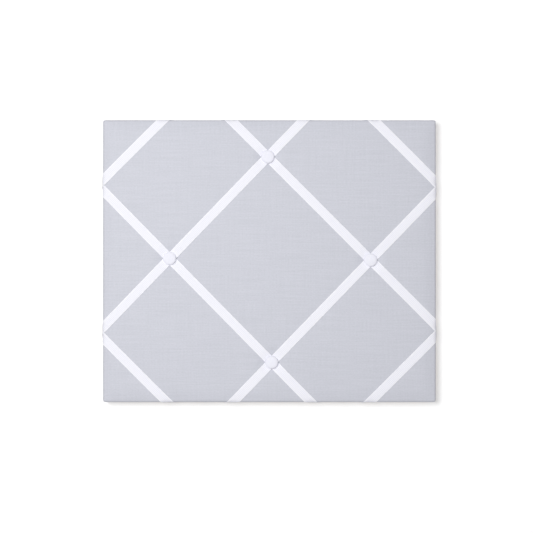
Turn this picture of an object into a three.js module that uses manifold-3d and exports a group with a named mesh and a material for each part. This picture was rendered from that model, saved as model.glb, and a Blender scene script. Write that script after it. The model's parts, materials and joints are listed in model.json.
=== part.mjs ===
import * as THREE from 'three';
import { mergeVertices } from 'three/addons/utils/BufferGeometryUtils.js';
import Module from 'manifold-3d';

// French memo board: a padded, cloth-covered board that hangs on a wall.
// Ribbons cross its face on the diagonal, covered buttons pin them where the long ones cross,
// and cards and photographs are slipped behind them.
// Millimetres, +Z up. The front faces -Y, and the wall is the plane y = 0.

// Outline of the covered board
const BOARD_WIDTH = 400;
const BOARD_HEIGHT = 339;
const CORNER_ROUND = 3.6;
const FRONT_ROUND = 3;
const BACK_ROUND = 2;

// Layers, from the wall to the front
const BUMPER_DEPTH = 4.5;
const BACK_SHEET = 1;
const BATTEN_DEPTH = 9;
const PANEL = 3;
const FOAM = 5;
const CLOTH = 0.6;

// Clearances
const GLUE_LINE = 0.1;
const LAY_GAP = 0.2;
const SEAT_GAP = 0.3;
const PIERCE_GAP = 0.25;
const MITRE_GAP = 0.2;

// Frame, hem and back sheet
const BATTEN_WIDTH = 22;
const HEM_WIDTH = 15;
const HEM_SLIT = 0.4;
const BACK_SHEET_INSET = 4;

// Ribbons
const RIBBON_WIDTH = 11;
const RIBBON_THICKNESS = 0.4;
const RIBBON_TAIL = 7;
const EDGE_MEET = 12;
const CORNER_ANGLE = Math.PI / 4;
const LIFT_RAMP = 6;
const LIFT_MARGIN = 1;

// Staples
const STAPLE_CROWN = 8;
const STAPLE_WIRE = 0.5;
const STAPLE_LEG = 6;

// Places of the buttons: in from the board's edges, and a little off its middle lines, as laid by hand
const BUTTON_FROM_LEFT = 80.4;
const BUTTON_FROM_RIGHT = 78.7;
const BUTTON_FROM_TOP = 44.5;
const BUTTON_FROM_BOTTOM = 48.2;
const LEFT_BUTTON_RISE = 3.2;
const RIGHT_BUTTON_RISE = 1.3;
const TOP_BUTTON_SHIFT = -1.9;
const BOTTOM_BUTTON_SHIFT = 2.7;

// Buttons and the tufts that they draw into the padding
const BUTTON_DIAMETER = 15.6;
const BUTTON_HEIGHT = 3.8;
const BUTTON_RIM = 1;
const BUTTON_WALL = 1.3;
const BUTTON_PLATE = 0.8;
const BUTTON_FLATTEN = 0.8;
const TUFT_DEPTH = 1.2;
const TUFT_RADIUS = 15;
const PIN_HEAD = 5.4;
const PIN_SHEET = 0.5;
const PIN_WIDTH = 2;
const PIN_SPLIT = 0.3;
const PIN_LEG = 7;

// Hangers: the margin is from the batten's inner edge to the screw, the drop from the top edge to the pivot
const HANGER_MARGIN = 3.9;
const HANGER_DROP = 55;
const STRAP_SHEET = 0.8;
const STRAP_WIDTH = 11;
const STRAP_LENGTH = 22;
const STRAP_CURL_END = Math.PI * 0.78;
const RING_WIRE = 2;
const RING_BEND = 1.6;
const RING_SIDE_GAP = 0.5;
const RING_ARM = 4;
const SCREW_DROP = 14;
const SCREW_SHANK = 2.8;
const SCREW_LENGTH = 12;
const SCREW_POINT = 3;
const SCREW_HEAD = 6.4;
const SCREW_HEAD_HEIGHT = 1.8;
const SCREW_HEAD_SIDE = 0.5;
const SCREW_CROSS_SPAN = 3.6;
const SCREW_CROSS_WIDTH = 0.9;
const SCREW_CROSS_DEPTH = 1;

// Wall bumpers
const BUMPER_DIAMETER = 13;
const BUMPER_FACE = 9;
const BUMPER_SIDE = 2.25;
const BUMPER_INSET = 21;

// Roundness of the facets
const ARC_STEPS = 4;
const CORNER_STEPS = 4;
const TUFT_RINGS = 5;
const DOME_STEPS = 7;
const HOLLOW_STEPS = 3;
const ROUND_STEPS = 20;
const DRILL_STEPS = 10;
const WIRE_SIDES = 8;
const BEND_STEPS = 3;
const BOW_STEPS = 12;
const CURL_STEPS = 8;

// How far a cutter runs past what it cuts, and how near two corners lie to be one
const OVERRUN = 1;
const WELD = 1e-4;

const halfWidth = BOARD_WIDTH / 2;
const halfHeight = BOARD_HEIGHT / 2;
const buttonPlaces = {
  left: new THREE.Vector2(BUTTON_FROM_LEFT - halfWidth, LEFT_BUTTON_RISE),
  top: new THREE.Vector2(TOP_BUTTON_SHIFT, halfHeight - BUTTON_FROM_TOP),
  right: new THREE.Vector2(halfWidth - BUTTON_FROM_RIGHT, RIGHT_BUTTON_RISE),
  bottom: new THREE.Vector2(BOTTOM_BUTTON_SHIFT, BUTTON_FROM_BOTTOM - halfHeight),
};

// Thickness of the covered board, and the length of cloth over each stretch of its edge
const coreInset = CLOTH + SEAT_GAP;
const coverDepth = 2 * coreInset + BATTEN_DEPTH + PANEL + FOAM + 2 * GLUE_LINE;
const frontArc = FRONT_ROUND * Math.PI / 2;
const sideRun = coverDepth - FRONT_ROUND - BACK_ROUND;
const backArc = BACK_ROUND * Math.PI / 2;
const backStart = frontArc + sideRun + backArc;
const turnX = halfWidth - FRONT_ROUND;
const turnZ = halfHeight - FRONT_ROUND;

// A ribbon's straight course over the flattened cloth, from the left to the right
function course(name, rising, from, to) {
  const along = to.clone().sub(from).normalize();
  const across = new THREE.Vector2(-along.y, along.x);
  const middle = from.clone().add(to).multiplyScalar(0.5);
  const ends = [-1, 1].map((side) => {
    const reachX = side * (turnX - side * middle.x) / along.x;
    const reachZ = side * (turnZ - side * Math.sign(along.y) * middle.y) / Math.abs(along.y);
    const overSide = Math.abs(reachX) < Math.abs(reachZ);
    return {
      side,
      overSide,
      reach: overSide ? reachX : reachZ,
      rate: overSide ? along.x : Math.abs(along.y),
      edge: overSide ? new THREE.Vector2(0, 1) : new THREE.Vector2(-Math.sign(along.y), 0),
    };
  });
  return { name, rising, along, across, middle, ends };
}

function pointOn(ribbon, distance) {
  return ribbon.middle.clone().addScaledVector(ribbon.along, distance);
}

// How far along a ribbon it has run a given way past the turn of the edge at one of its ends
function runAt(end, run) {
  return end.reach + end.side * run / end.rate;
}

// Where two ribbons' middle lines cross, as a distance along each, or null where they don't both reach
function crossing(over, under) {
  const between = under.middle.clone().sub(over.middle);
  const sine = over.along.cross(under.along);
  const onOver = between.cross(under.along) / sine;
  const onUnder = between.cross(over.along) / sine;
  const reaches = (ribbon, distance) => {
    const [start, stop] = ribbon.ends.map((end) => runAt(end, backStart + RIBBON_TAIL));
    return distance > start - RIBBON_WIDTH && distance < stop + RIBBON_WIDTH;
  };
  return reaches(over, onOver) && reaches(under, onUnder) ? { onOver, onUnder } : null;
}

// The two ends of a short ribbon: it meets a long ribbon at the side of the board and cuts off the corner
function acrossCorner(signX, signZ, [from, to]) {
  const side = signX * halfWidth;
  const long = from.y + (side - from.x) * (to.y - from.y) / (to.x - from.x);
  const meet = long + signZ * EDGE_MEET;
  const along = (halfHeight - signZ * meet) / Math.tan(CORNER_ANGLE);
  const atSide = new THREE.Vector2(side, meet);
  const atEdge = new THREE.Vector2(side - signX * along, signZ * halfHeight);
  return signX < 0 ? [atSide, atEdge] : [atEdge, atSide];
}

// The whole lattice: long ribbons run through pairs of buttons, short ones cut off the corners
function layRibbons() {
  const { left, top, right, bottom } = buttonPlaces;
  const rising = [
    acrossCorner(-1, 1, [left, bottom]), [left, top], [bottom, right], acrossCorner(1, -1, [top, right]),
  ];
  const falling = [
    acrossCorner(-1, -1, [left, top]), [left, bottom], [top, right], acrossCorner(1, 1, [bottom, right]),
  ];
  return {
    rising: rising.map((points, i) => course(`rising_${i + 1}`, true, ...points)),
    falling: falling.map((points, i) => course(`falling_${i + 1}`, false, ...points)),
  };
}

const lattice = layRibbons();

// How far a ribbon of the rising set stands off the cloth to pass over the falling set:
// all the way within the plateau on both sides of the other ribbon's middle line
function liftAt(ribbon, point, plateau) {
  if (!ribbon.rising) return 0;
  const shares = lattice.falling.filter((under) => crossing(ribbon, under)).map((under) => {
    const offset = Math.abs(point.clone().sub(under.middle).dot(under.across));
    return THREE.MathUtils.clamp((plateau + LIFT_RAMP - offset) / LIFT_RAMP, 0, 1);
  });
  return (RIBBON_THICKNESS + LAY_GAP) * Math.max(0, ...shares);
}

// The middle of a ribbon's tail on the flattened cloth, where its staple goes
function tailMiddle(ribbon, end) {
  return pointOn(ribbon, runAt(end, backStart + RIBBON_TAIL / 2));
}

// How far a tail stands off the hem at its staple, where it laps over another tail
function tailLift(ribbon, end) {
  return liftAt(ribbon, tailMiddle(ribbon, end), RIBBON_WIDTH);
}

const ribbons = [...lattice.rising, ...lattice.falling];
const tailLap = Math.max(...ribbons.flatMap((ribbon) => ribbon.ends.map((end) => tailLift(ribbon, end))));

// Depth of each layer, counted back from the wall. The back sheet clears the highest staple.
const crownStand = LAY_GAP + RIBBON_THICKNESS + LAY_GAP + STAPLE_WIRE;
const sheetRear = -BUMPER_DEPTH - GLUE_LINE;
const sheetFront = sheetRear - BACK_SHEET;
const hemRear = sheetFront - LAY_GAP - tailLap - crownStand;
const battenRear = hemRear - coreInset;
const battenFront = battenRear - BATTEN_DEPTH;
const panelRear = battenFront - GLUE_LINE;
const panelFront = panelRear - PANEL;
const foamRear = panelFront - GLUE_LINE;
const foamFront = foamRear - FOAM;
const clothFront = hemRear - coverDepth;

const finishes = {
  cloth: { color: '#d2d5dc', roughness: 0.85, metalness: 0 },
  ribbon: { color: '#f5f5fb', roughness: 0.6, metalness: 0 },
  button: { color: '#eeeef6', roughness: 0.6, metalness: 0 },
  foam: { color: '#efe9d6', roughness: 0.95, metalness: 0 },
  hardboard: { color: '#7d5a3c', roughness: 0.8, metalness: 0 },
  pine: { color: '#d9b98a', roughness: 0.7, metalness: 0 },
  card: { color: '#b58f66', roughness: 0.9, metalness: 0 },
  steel: { color: '#b9bcc0', roughness: 0.35, metalness: 1 },
  rubber: { color: '#e4e2dc', roughness: 0.7, metalness: 0 },
};

const wasm = await Module();
wasm.setup();

// A closed geometry as a solid that can be joined and cut, with its faces turned outwards
function solidOf(geometry) {
  const bare = geometry.clone();
  bare.deleteAttribute('normal');
  bare.deleteAttribute('uv');
  const merged = mergeVertices(bare, WELD);
  const index = merged.index.array;
  const triangles = [];
  for (let i = 0; i < index.length; i += 3) {
    const [a, b, c] = [index[i], index[i + 1], index[i + 2]];
    if (a !== b && b !== c && c !== a) triangles.push(a, b, c);
  }
  const place = merged.attributes.position;
  const corners = [new THREE.Vector3(), new THREE.Vector3(), new THREE.Vector3()];
  let volume = 0;
  for (let i = 0; i < triangles.length; i += 3) {
    corners.forEach((corner, k) => corner.fromBufferAttribute(place, triangles[i + k]));
    volume += corners[0].dot(corners[1].cross(corners[2]));
  }
  if (volume < 0) triangles.reverse();
  const vertProperties = Float32Array.from(place.array);
  const triVerts = Uint32Array.from(triangles);
  return new wasm.Manifold(new wasm.Mesh({ numProp: 3, vertProperties, triVerts }));
}

// The geometry of a finished solid
function geometryOf(solid) {
  const { vertProperties, triVerts } = solid.getMesh();
  const geometry = new THREE.BufferGeometry();
  geometry.setAttribute('position', new THREE.BufferAttribute(Float32Array.from(vertProperties), 3));
  geometry.setIndex(new THREE.BufferAttribute(Uint32Array.from(triVerts), 1));
  geometry.computeVertexNormals();
  return geometry;
}

function subtractAll(solid, cutters) {
  return cutters.reduce((rest, cutter) => rest.subtract(cutter), solid);
}

// A named piece of the board
function piece(name, solid, finish) {
  const mesh = new THREE.Mesh(geometryOf(solid), new THREE.MeshStandardMaterial(finishes[finish]));
  mesh.name = name;
  return mesh;
}

// A flat outline, drawn to the right and up, given its thickness from front to back
function plate(shape, front, back) {
  const geometry = new THREE.ExtrudeGeometry(shape, {
    depth: back - front,
    bevelEnabled: false,
    curveSegments: CORNER_STEPS,
  });
  return solidOf(geometry.rotateX(Math.PI / 2).translate(0, back, 0));
}

// A turned piece: its profile holds radius and depth, and it stands at a place on the board
function turned(profile, place, steps = ROUND_STEPS) {
  const points = profile.map(([radius, y]) => new THREE.Vector2(radius, y));
  return solidOf(new THREE.LatheGeometry(points, steps).translate(place.x, 0, place.y));
}

// A round hole through all the layers between two depths
function drill(place, radius, front, back) {
  return turned([[0, front], [radius, front], [radius, back], [0, back]], place, DRILL_STEPS);
}

function box(width, depth, height) {
  return new THREE.BoxGeometry(width, depth, height);
}

// Corner points of a rounded rectangle about the centre of the board
function roundedOutline(width, height, radius) {
  const points = [];
  for (let corner = 0; corner < 4; corner++) {
    const signX = corner === 0 || corner === 3 ? 1 : -1;
    const signZ = corner < 2 ? 1 : -1;
    for (let step = 0; step <= CORNER_STEPS; step++) {
      const angle = (corner + step / CORNER_STEPS) * Math.PI / 2;
      const x = signX * (width - radius) + radius * Math.cos(angle);
      const z = signZ * (height - radius) + radius * Math.sin(angle);
      points.push(new THREE.Vector2(x, z));
    }
  }
  return points;
}

// Corner radius of a layer that lies inside the cloth's outline
function cornerRadius(inset) {
  return Math.max(CORNER_ROUND - inset, LAY_GAP);
}

// A slab of the board's outline with rolled front and back edges, made by joining rounded rectangles
function slab(inset, front, back, frontRound, backRound) {
  const sections = [];
  const addEdge = (round, face, inward) => {
    const steps = round > 0 ? ARC_STEPS : 0;
    for (let step = 0; step <= steps; step++) {
      const turn = steps ? (step / steps) * Math.PI / 2 : 0;
      const y = face + inward * round * (1 - Math.cos(turn));
      sections.push({ y, extra: round * (1 - Math.sin(turn)) });
    }
  };
  addEdge(backRound, back, -1);
  const rear = sections.splice(0).reverse();
  addEdge(frontRound, front, 1);
  sections.push(...rear);

  const positions = [];
  for (const { y, extra } of sections) {
    const reach = inset + extra;
    const outline = roundedOutline(halfWidth - reach, halfHeight - reach, cornerRadius(reach));
    for (const point of outline) positions.push(point.x, y, point.y);
  }
  const count = 4 * (CORNER_STEPS + 1);
  positions.push(0, front, 0, 0, back, 0);
  const frontCentre = sections.length * count;
  const backCentre = frontCentre + 1;
  const last = (sections.length - 1) * count;
  const index = [];
  for (let i = 0; i < count; i++) {
    const next = (i + 1) % count;
    index.push(frontCentre, i, next, backCentre, last + next, last + i);
    for (let row = 0; row < last; row += count) {
      index.push(row + i, row + count + i, row + next);
      index.push(row + next, row + count + i, row + count + next);
    }
  }
  return solidOf(geometryFrom(positions, index));
}

function geometryFrom(positions, index) {
  const geometry = new THREE.BufferGeometry();
  geometry.setAttribute('position', new THREE.Float32BufferAttribute(positions, 3));
  geometry.setIndex(index);
  return geometry;
}

// How far the padding is drawn in at a distance from a button's centre
function tuft(distance) {
  if (distance >= TUFT_RADIUS) return 0;
  return TUFT_DEPTH * Math.cos(distance / TUFT_RADIUS * Math.PI / 2) ** 2;
}

// How far the padding is drawn in at a place; a taut ribbon bridges the space nearer than bridged
function tuftAt(x, z, bridged) {
  let depth = 0;
  for (const place of Object.values(buttonPlaces)) {
    depth += tuft(Math.max(Math.hypot(x - place.x, z - place.y), bridged));
  }
  return depth;
}

// The hollows that the buttons draw into a face at the given depth
function tuftHollows(face) {
  return Object.values(buttonPlaces).map((place) => {
    const profile = [[0, face - OVERRUN], [TUFT_RADIUS, face - OVERRUN]];
    for (let ring = TUFT_RINGS; ring >= 0; ring--) {
      const radius = ring / TUFT_RINGS * TUFT_RADIUS;
      profile.push([radius, face + tuft(radius)]);
    }
    return turned(profile, place);
  });
}

// Where a point of flat cloth comes to lie when the cloth is pulled over an edge.
// run is counted on the cloth from the line where the front starts to turn, and lift is out from the cloth.
function overEdge(half, run, lift) {
  if (run <= frontArc) {
    const turn = run / FRONT_ROUND;
    const radius = FRONT_ROUND + lift;
    const out = half - FRONT_ROUND + radius * Math.sin(turn);
    return { out, y: clothFront + FRONT_ROUND - radius * Math.cos(turn) };
  }
  if (run <= frontArc + sideRun) {
    return { out: half + lift, y: clothFront + FRONT_ROUND + run - frontArc };
  }
  const turn = Math.min((run - frontArc - sideRun) / BACK_ROUND, Math.PI / 2);
  const past = Math.max(run - backStart, 0);
  const radius = BACK_ROUND + lift;
  const out = half - BACK_ROUND - past + radius * Math.cos(turn);
  return { out, y: hemRear - BACK_ROUND + radius * Math.sin(turn) };
}

// A place on the flattened cloth, carried onto the finished board
function onBoard(x, z, lift, bridged) {
  const runX = Math.abs(x) - turnX;
  const runZ = Math.abs(z) - turnZ;
  if (runX > 0) {
    const { out, y } = overEdge(halfWidth, runX, lift);
    return new THREE.Vector3(Math.sign(x) * out, y, z);
  }
  if (runZ > 0) {
    const { out, y } = overEdge(halfHeight, runZ, lift);
    return new THREE.Vector3(x, y, Math.sign(z) * out);
  }
  return new THREE.Vector3(x, clothFront + tuftAt(x, z, bridged) - lift, z);
}

// Distances past the turn of an edge at which a ribbon needs a cross line
function edgeRuns() {
  const arc = (start, length) => (
    Array.from({ length: ARC_STEPS }, (_, step) => start + (step + 1) / ARC_STEPS * length)
  );
  const approach = [-RIBBON_WIDTH - LIFT_RAMP, -RIBBON_WIDTH, -LIFT_RAMP, 0];
  const side = Array.from({ length: ARC_STEPS }, (_, step) => frontArc + (step + 1) / ARC_STEPS * sideRun);
  return [
    ...approach, ...arc(0, frontArc), ...side, ...arc(frontArc + sideRun, backArc), backStart + RIBBON_TAIL,
  ];
}

// The border points and the lift of each cross line of a ribbon, on the flattened cloth
function crossLines(ribbon) {
  const half = RIBBON_WIDTH / 2;
  const runs = edgeRuns();
  const edgeLines = ribbon.ends.map((end) => runs.map((run) => {
    const distance = runAt(end, run);
    const centre = pointOn(ribbon, distance);
    const step = end.edge.clone().multiplyScalar(half / end.rate);
    const lift = liftAt(ribbon, centre, RIBBON_WIDTH);
    return { borders: [centre.clone().sub(step), centre.clone().add(step)], lift };
  }));
  const [start, stop] = ribbon.ends.map((end) => runAt(end, runs[0]) - end.side * RIBBON_WIDTH);
  const others = ribbon.rising ? lattice.falling : lattice.rising;
  const places = [start, stop];
  for (const other of others) {
    const meeting = ribbon.rising ? crossing(ribbon, other) : crossing(other, ribbon);
    if (!meeting) continue;
    const middle = ribbon.rising ? meeting.onOver : meeting.onUnder;
    const flat = half + LIFT_MARGIN;
    const offsets = [0, flat / 2, flat, flat + LIFT_RAMP / 2, flat + LIFT_RAMP, TUFT_RADIUS + LAY_GAP];
    for (const offset of new Set(offsets.flatMap((value) => [value, -value]))) places.push(middle + offset);
  }
  const straight = [...new Set(places)].filter((value) => value >= start && value <= stop);
  straight.sort((a, b) => a - b);
  const faceLines = straight.map((distance) => {
    const centre = pointOn(ribbon, distance);
    const step = ribbon.across.clone().multiplyScalar(half);
    const lift = liftAt(ribbon, centre, half + LIFT_MARGIN);
    return { borders: [centre.clone().sub(step), centre.clone().add(step)], lift };
  });
  return [...edgeLines[0].reverse(), ...faceLines, ...edgeLines[1]];
}

// A ribbon: a thin band through its cross lines, wrapped over the edges, with slots where it is pierced
function ribbonSolid(ribbon, cutters) {
  const bridged = ribbon.rising ? RIBBON_WIDTH / Math.SQRT2 : 0;
  const positions = [];
  const lines = crossLines(ribbon);
  for (const { borders, lift } of lines) {
    for (const border of borders) {
      const under = LAY_GAP + lift;
      for (const height of [under, under + RIBBON_THICKNESS]) {
        positions.push(...onBoard(border.x, border.y, height, bridged).toArray());
      }
    }
  }
  const index = [];
  const quad = (a, b, c, d) => index.push(a, b, c, a, c, d);
  const loop = [0, 1, 3, 2];
  for (let line = 0; line + 1 < lines.length; line++) {
    const here = 4 * line;
    const next = here + 4;
    loop.forEach((corner, k) => {
      const beside = loop[(k + 1) % 4];
      quad(here + corner, here + beside, next + beside, next + corner);
    });
  }
  const last = 4 * (lines.length - 1);
  quad(2, 3, 1, 0);
  quad(last, last + 1, last + 3, last + 2);
  return subtractAll(solidOf(geometryFrom(positions, index)), cutters);
}

// Places of the staples: one in the middle of each ribbon's tail, with its crown along the edge
function stapleSites() {
  return ribbons.flatMap((ribbon) => ribbon.ends.map((end) => {
    const flat = tailMiddle(ribbon, end);
    const place = onBoard(flat.x, flat.y, 0, 0);
    place.y = hemRear + crownStand + tailLift(ribbon, end);
    const name = `staple_${ribbon.name}_${end.side < 0 ? 'start' : 'end'}`;
    return { name, place, turn: end.overSide ? Math.PI / 2 : 0 };
  }));
}

function atSite(geometry, { turn, place }) {
  return solidOf(geometry.rotateY(turn).translate(place.x, place.y, place.z));
}

// A staple: a flat crown with two legs
function stapleSolid(site) {
  const half = STAPLE_CROWN / 2;
  const inner = half - STAPLE_WIRE;
  const shape = new THREE.Shape();
  shape.moveTo(-half, 0);
  shape.lineTo(-half, -STAPLE_LEG);
  shape.lineTo(-inner, -STAPLE_LEG);
  shape.lineTo(-inner, -STAPLE_WIRE);
  shape.lineTo(inner, -STAPLE_WIRE);
  shape.lineTo(inner, -STAPLE_LEG);
  shape.lineTo(half, -STAPLE_LEG);
  shape.lineTo(half, 0);
  shape.closePath();
  const wire = new THREE.ExtrudeGeometry(shape, { depth: STAPLE_WIRE, bevelEnabled: false });
  return atSite(wire.translate(0, 0, -STAPLE_WIRE / 2), site);
}

// The two slots that a staple's legs make in what they are driven through
function stapleSlots(site) {
  const width = STAPLE_WIRE + 2 * PIERCE_GAP;
  const depth = STAPLE_LEG + PIERCE_GAP;
  return [-1, 1].map((side) => {
    const leg = box(width, depth, width);
    return atSite(leg.translate(side * (STAPLE_CROWN - STAPLE_WIRE) / 2, -depth / 2, 0), site);
  });
}

// Height of the ribbons' top face where a button sits on their crossing
const crossingTop = 2 * (LAY_GAP + RIBBON_THICKNESS) - tuft(RIBBON_WIDTH / Math.SQRT2);
const buttonSeat = clothFront - crossingTop - LAY_GAP;
const pinHole = Math.hypot(PIN_WIDTH / 2, PIN_SHEET + PIN_SPLIT / 2) + PIERCE_GAP;
const plateFront = buttonSeat - BUTTON_PLATE;

function pinDrills() {
  return Object.values(buttonPlaces).map((place) => (
    drill(place, pinHole, clothFront - BUTTON_HEIGHT, panelRear + OVERRUN)
  ));
}

// Profile of a flattened dome, from its top to its edge, which stands a rim above the button's seat
function dome(radius, rim, height, steps) {
  return Array.from({ length: steps + 1 }, (_, step) => {
    const turn = step / steps * Math.PI / 2;
    const rise = step < steps ? Math.cos(turn) ** BUTTON_FLATTEN : 0;
    return [radius * Math.sin(turn) ** BUTTON_FLATTEN, buttonSeat - rim - (height - rim) * rise];
  });
}

// A covered button's shell: a flattened dome with a rolled rim, and a like hollow behind
function buttonCap(place) {
  const radius = BUTTON_DIAMETER / 2;
  const bore = radius - BUTTON_WALL;
  const rolled = [Math.PI / 4, Math.PI / 2].map((turn) => (
    [radius - BUTTON_RIM * (1 - Math.cos(turn)), buttonSeat - BUTTON_RIM * (1 - Math.sin(turn))]
  ));
  const hollow = dome(bore, BUTTON_RIM, BUTTON_HEIGHT - BUTTON_WALL, HOLLOW_STEPS).reverse();
  const outside = dome(radius, BUTTON_RIM, BUTTON_HEIGHT, DOME_STEPS);
  return turned([...outside, ...rolled, [bore, buttonSeat], ...hollow], place);
}

// The plate pressed into the back of a button, with the hole that the pin comes through
function buttonPlate(place) {
  const radius = BUTTON_DIAMETER / 2 - BUTTON_WALL - LAY_GAP;
  const rear = buttonSeat;
  return turned([
    [pinHole, plateFront], [radius, plateFront], [radius, rear], [pinHole, rear], [pinHole, plateFront],
  ], place);
}

// A split pin: a flat head behind the shell, and two legs bent outwards against the back of the panel
function buttonPin(place) {
  const headRear = plateFront - LAY_GAP;
  const foot = panelRear + LAY_GAP + PIN_SHEET;
  const inner = PIN_SPLIT / 2;
  const outer = inner + PIN_SHEET;
  const leg = (side) => {
    const shape = new THREE.Shape();
    shape.moveTo(side * inner, headRear - PIN_SHEET / 2);
    shape.lineTo(side * outer, headRear - PIN_SHEET / 2);
    shape.lineTo(side * outer, foot - PIN_SHEET);
    shape.lineTo(side * PIN_LEG, foot - PIN_SHEET);
    shape.lineTo(side * PIN_LEG, foot);
    shape.lineTo(side * (inner + PIN_SHEET / 2), foot);
    shape.lineTo(side * inner, foot - PIN_SHEET / 2);
    shape.closePath();
    const strip = new THREE.ExtrudeGeometry(shape, { depth: PIN_WIDTH, bevelEnabled: false });
    return solidOf(strip.translate(place.x, 0, place.y - PIN_WIDTH / 2));
  };
  const head = drill(place, PIN_HEAD / 2, headRear - PIN_SHEET, headRear);
  return head.add(leg(-1)).add(leg(1));
}

// The foam pad, drawn in at the buttons and pierced by their pins
function foamPad() {
  const pad = slab(coreInset, foamFront, foamRear, FRONT_ROUND - coreInset, 0);
  return subtractAll(pad, [...tuftHollows(foamFront), ...pinDrills()]);
}

// The hardboard face behind the foam
function facePanel() {
  const shape = new THREE.Shape(
    roundedOutline(halfWidth - coreInset, halfHeight - coreInset, cornerRadius(coreInset)),
  );
  return subtractAll(plate(shape, panelFront, panelRear), pinDrills());
}

// The cloth: front, sides and a hem at the back that is slit to a mitre at each corner
function fabricCover(slots) {
  const outer = subtractAll(slab(0, clothFront, hemRear, FRONT_ROUND, BACK_ROUND), tuftHollows(clothFront));
  const innerFront = clothFront + CLOTH;
  const inner = subtractAll(
    slab(CLOTH, innerFront, hemRear - CLOTH, FRONT_ROUND - CLOTH, BACK_ROUND - CLOTH),
    tuftHollows(innerFront),
  );
  const windowDepth = 4 * CLOTH;
  const windowWidth = BOARD_WIDTH - 2 * HEM_WIDTH;
  const windowHeight = BOARD_HEIGHT - 2 * HEM_WIDTH;
  const opening = solidOf(box(windowWidth, windowDepth, windowHeight).translate(0, hemRear, 0));
  const slitLength = (HEM_WIDTH - CORNER_ROUND) * Math.SQRT2;
  const slits = [[1, 1], [1, -1], [-1, 1], [-1, -1]].map(([signX, signZ]) => {
    const slit = box(slitLength, windowDepth, HEM_SLIT).translate(slitLength / 2, 0, 0);
    slit.rotateY(-Math.atan2(signZ, signX));
    return solidOf(slit.translate(signX * windowWidth / 2, hemRear, signZ * windowHeight / 2));
  });
  return subtractAll(outer.subtract(inner), [opening, ...slits, ...pinDrills(), ...slots]);
}

// One side of the frame, mitred at both ends, with its outer edges eased
function batten(across, sign, cutters) {
  const long = (across ? halfWidth : halfHeight) - coreInset - MITRE_GAP / Math.SQRT2;
  const reach = (across ? halfHeight : halfWidth) - coreInset;
  const corners = [
    [-long, reach], [long, reach], [long - BATTEN_WIDTH, reach - BATTEN_WIDTH],
    [BATTEN_WIDTH - long, reach - BATTEN_WIDTH],
  ];
  const points = corners.map(([along, out]) => (
    across ? new THREE.Vector2(along, sign * out) : new THREE.Vector2(sign * out, along)
  ));
  const blank = plate(new THREE.Shape(points), battenFront, battenRear);
  const core = slab(coreInset, battenFront, battenRear, 0, BACK_ROUND - coreInset);
  return subtractAll(blank.intersect(core), cutters);
}

const hangerReach = halfWidth - coreInset - BATTEN_WIDTH + HANGER_MARGIN;
const hangerPlaces = {
  left: new THREE.Vector2(-hangerReach, halfHeight - HANGER_DROP),
  right: new THREE.Vector2(hangerReach, halfHeight - HANGER_DROP),
};

const screwHole = SCREW_SHANK / 2 + PIERCE_GAP;
const strapRear = 2 * STRAP_SHEET;
const screwTip = sheetRear + GLUE_LINE + strapRear + LAY_GAP - SCREW_LENGTH;

function screwDrills() {
  return Object.values(hangerPlaces).map(({ x, y }) => (
    drill(new THREE.Vector2(x, y - SCREW_DROP), screwHole, screwTip - LAY_GAP, sheetRear + OVERRUN)
  ));
}

// The card that covers the back
function backSheet() {
  const shape = new THREE.Shape(roundedOutline(
    halfWidth - BACK_SHEET_INSET, halfHeight - BACK_SHEET_INSET, CORNER_ROUND,
  ));
  return subtractAll(plate(shape, sheetFront, sheetRear), screwDrills());
}

// Depth of the strap's curl and of the ring's pivot behind the back sheet
const curlBore = RING_WIRE / 2 + PIERCE_GAP;
const curlRadius = curlBore + STRAP_SHEET;

// A hanger strap: sheet steel folded double round the ring's bar, with a round tail and a screw hole
function hangerStrap() {
  const side = new THREE.Shape();
  side.moveTo(-STRAP_LENGTH, 0);
  side.lineTo(0, 0);
  side.absarc(0, curlRadius, curlRadius, -Math.PI / 2, STRAP_CURL_END, false);
  side.lineTo(-2 * curlRadius, strapRear);
  side.lineTo(-STRAP_LENGTH, strapRear);
  side.closePath();
  const bore = new THREE.Path();
  bore.absarc(0, curlRadius, curlBore, 0, 2 * Math.PI, true);
  side.holes.push(bore);
  const folded = new THREE.ExtrudeGeometry(side, {
    depth: STRAP_WIDTH,
    bevelEnabled: false,
    curveSegments: CURL_STEPS,
  });
  folded.rotateY(-Math.PI / 2).translate(STRAP_WIDTH / 2, 0, 0);

  const half = STRAP_WIDTH / 2;
  const plan = new THREE.Shape();
  plan.moveTo(half, 2 * curlRadius);
  plan.lineTo(-half, 2 * curlRadius);
  plan.lineTo(-half, half - STRAP_LENGTH);
  plan.absarc(0, half - STRAP_LENGTH, half, Math.PI, 2 * Math.PI, false);
  plan.closePath();
  const hole = drill(new THREE.Vector2(0, -SCREW_DROP), screwHole, -OVERRUN, strapRear + OVERRUN);
  return solidOf(folded).intersect(plate(plan, -OVERRUN, 2 * curlRadius + OVERRUN)).subtract(hole);
}

// Points of an arc about a centre to the right and up
function arcPoints(centreX, centreZ, radius, from, to, steps) {
  return Array.from({ length: steps + 1 }, (_, step) => {
    const angle = from + (to - from) * step / steps;
    return new THREE.Vector2(centreX + radius * Math.cos(angle), centreZ + radius * Math.sin(angle));
  });
}

const ringHalf = STRAP_WIDTH / 2 + RING_SIDE_GAP + RING_BEND;
const ringTop = RING_ARM + ringHalf;

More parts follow.
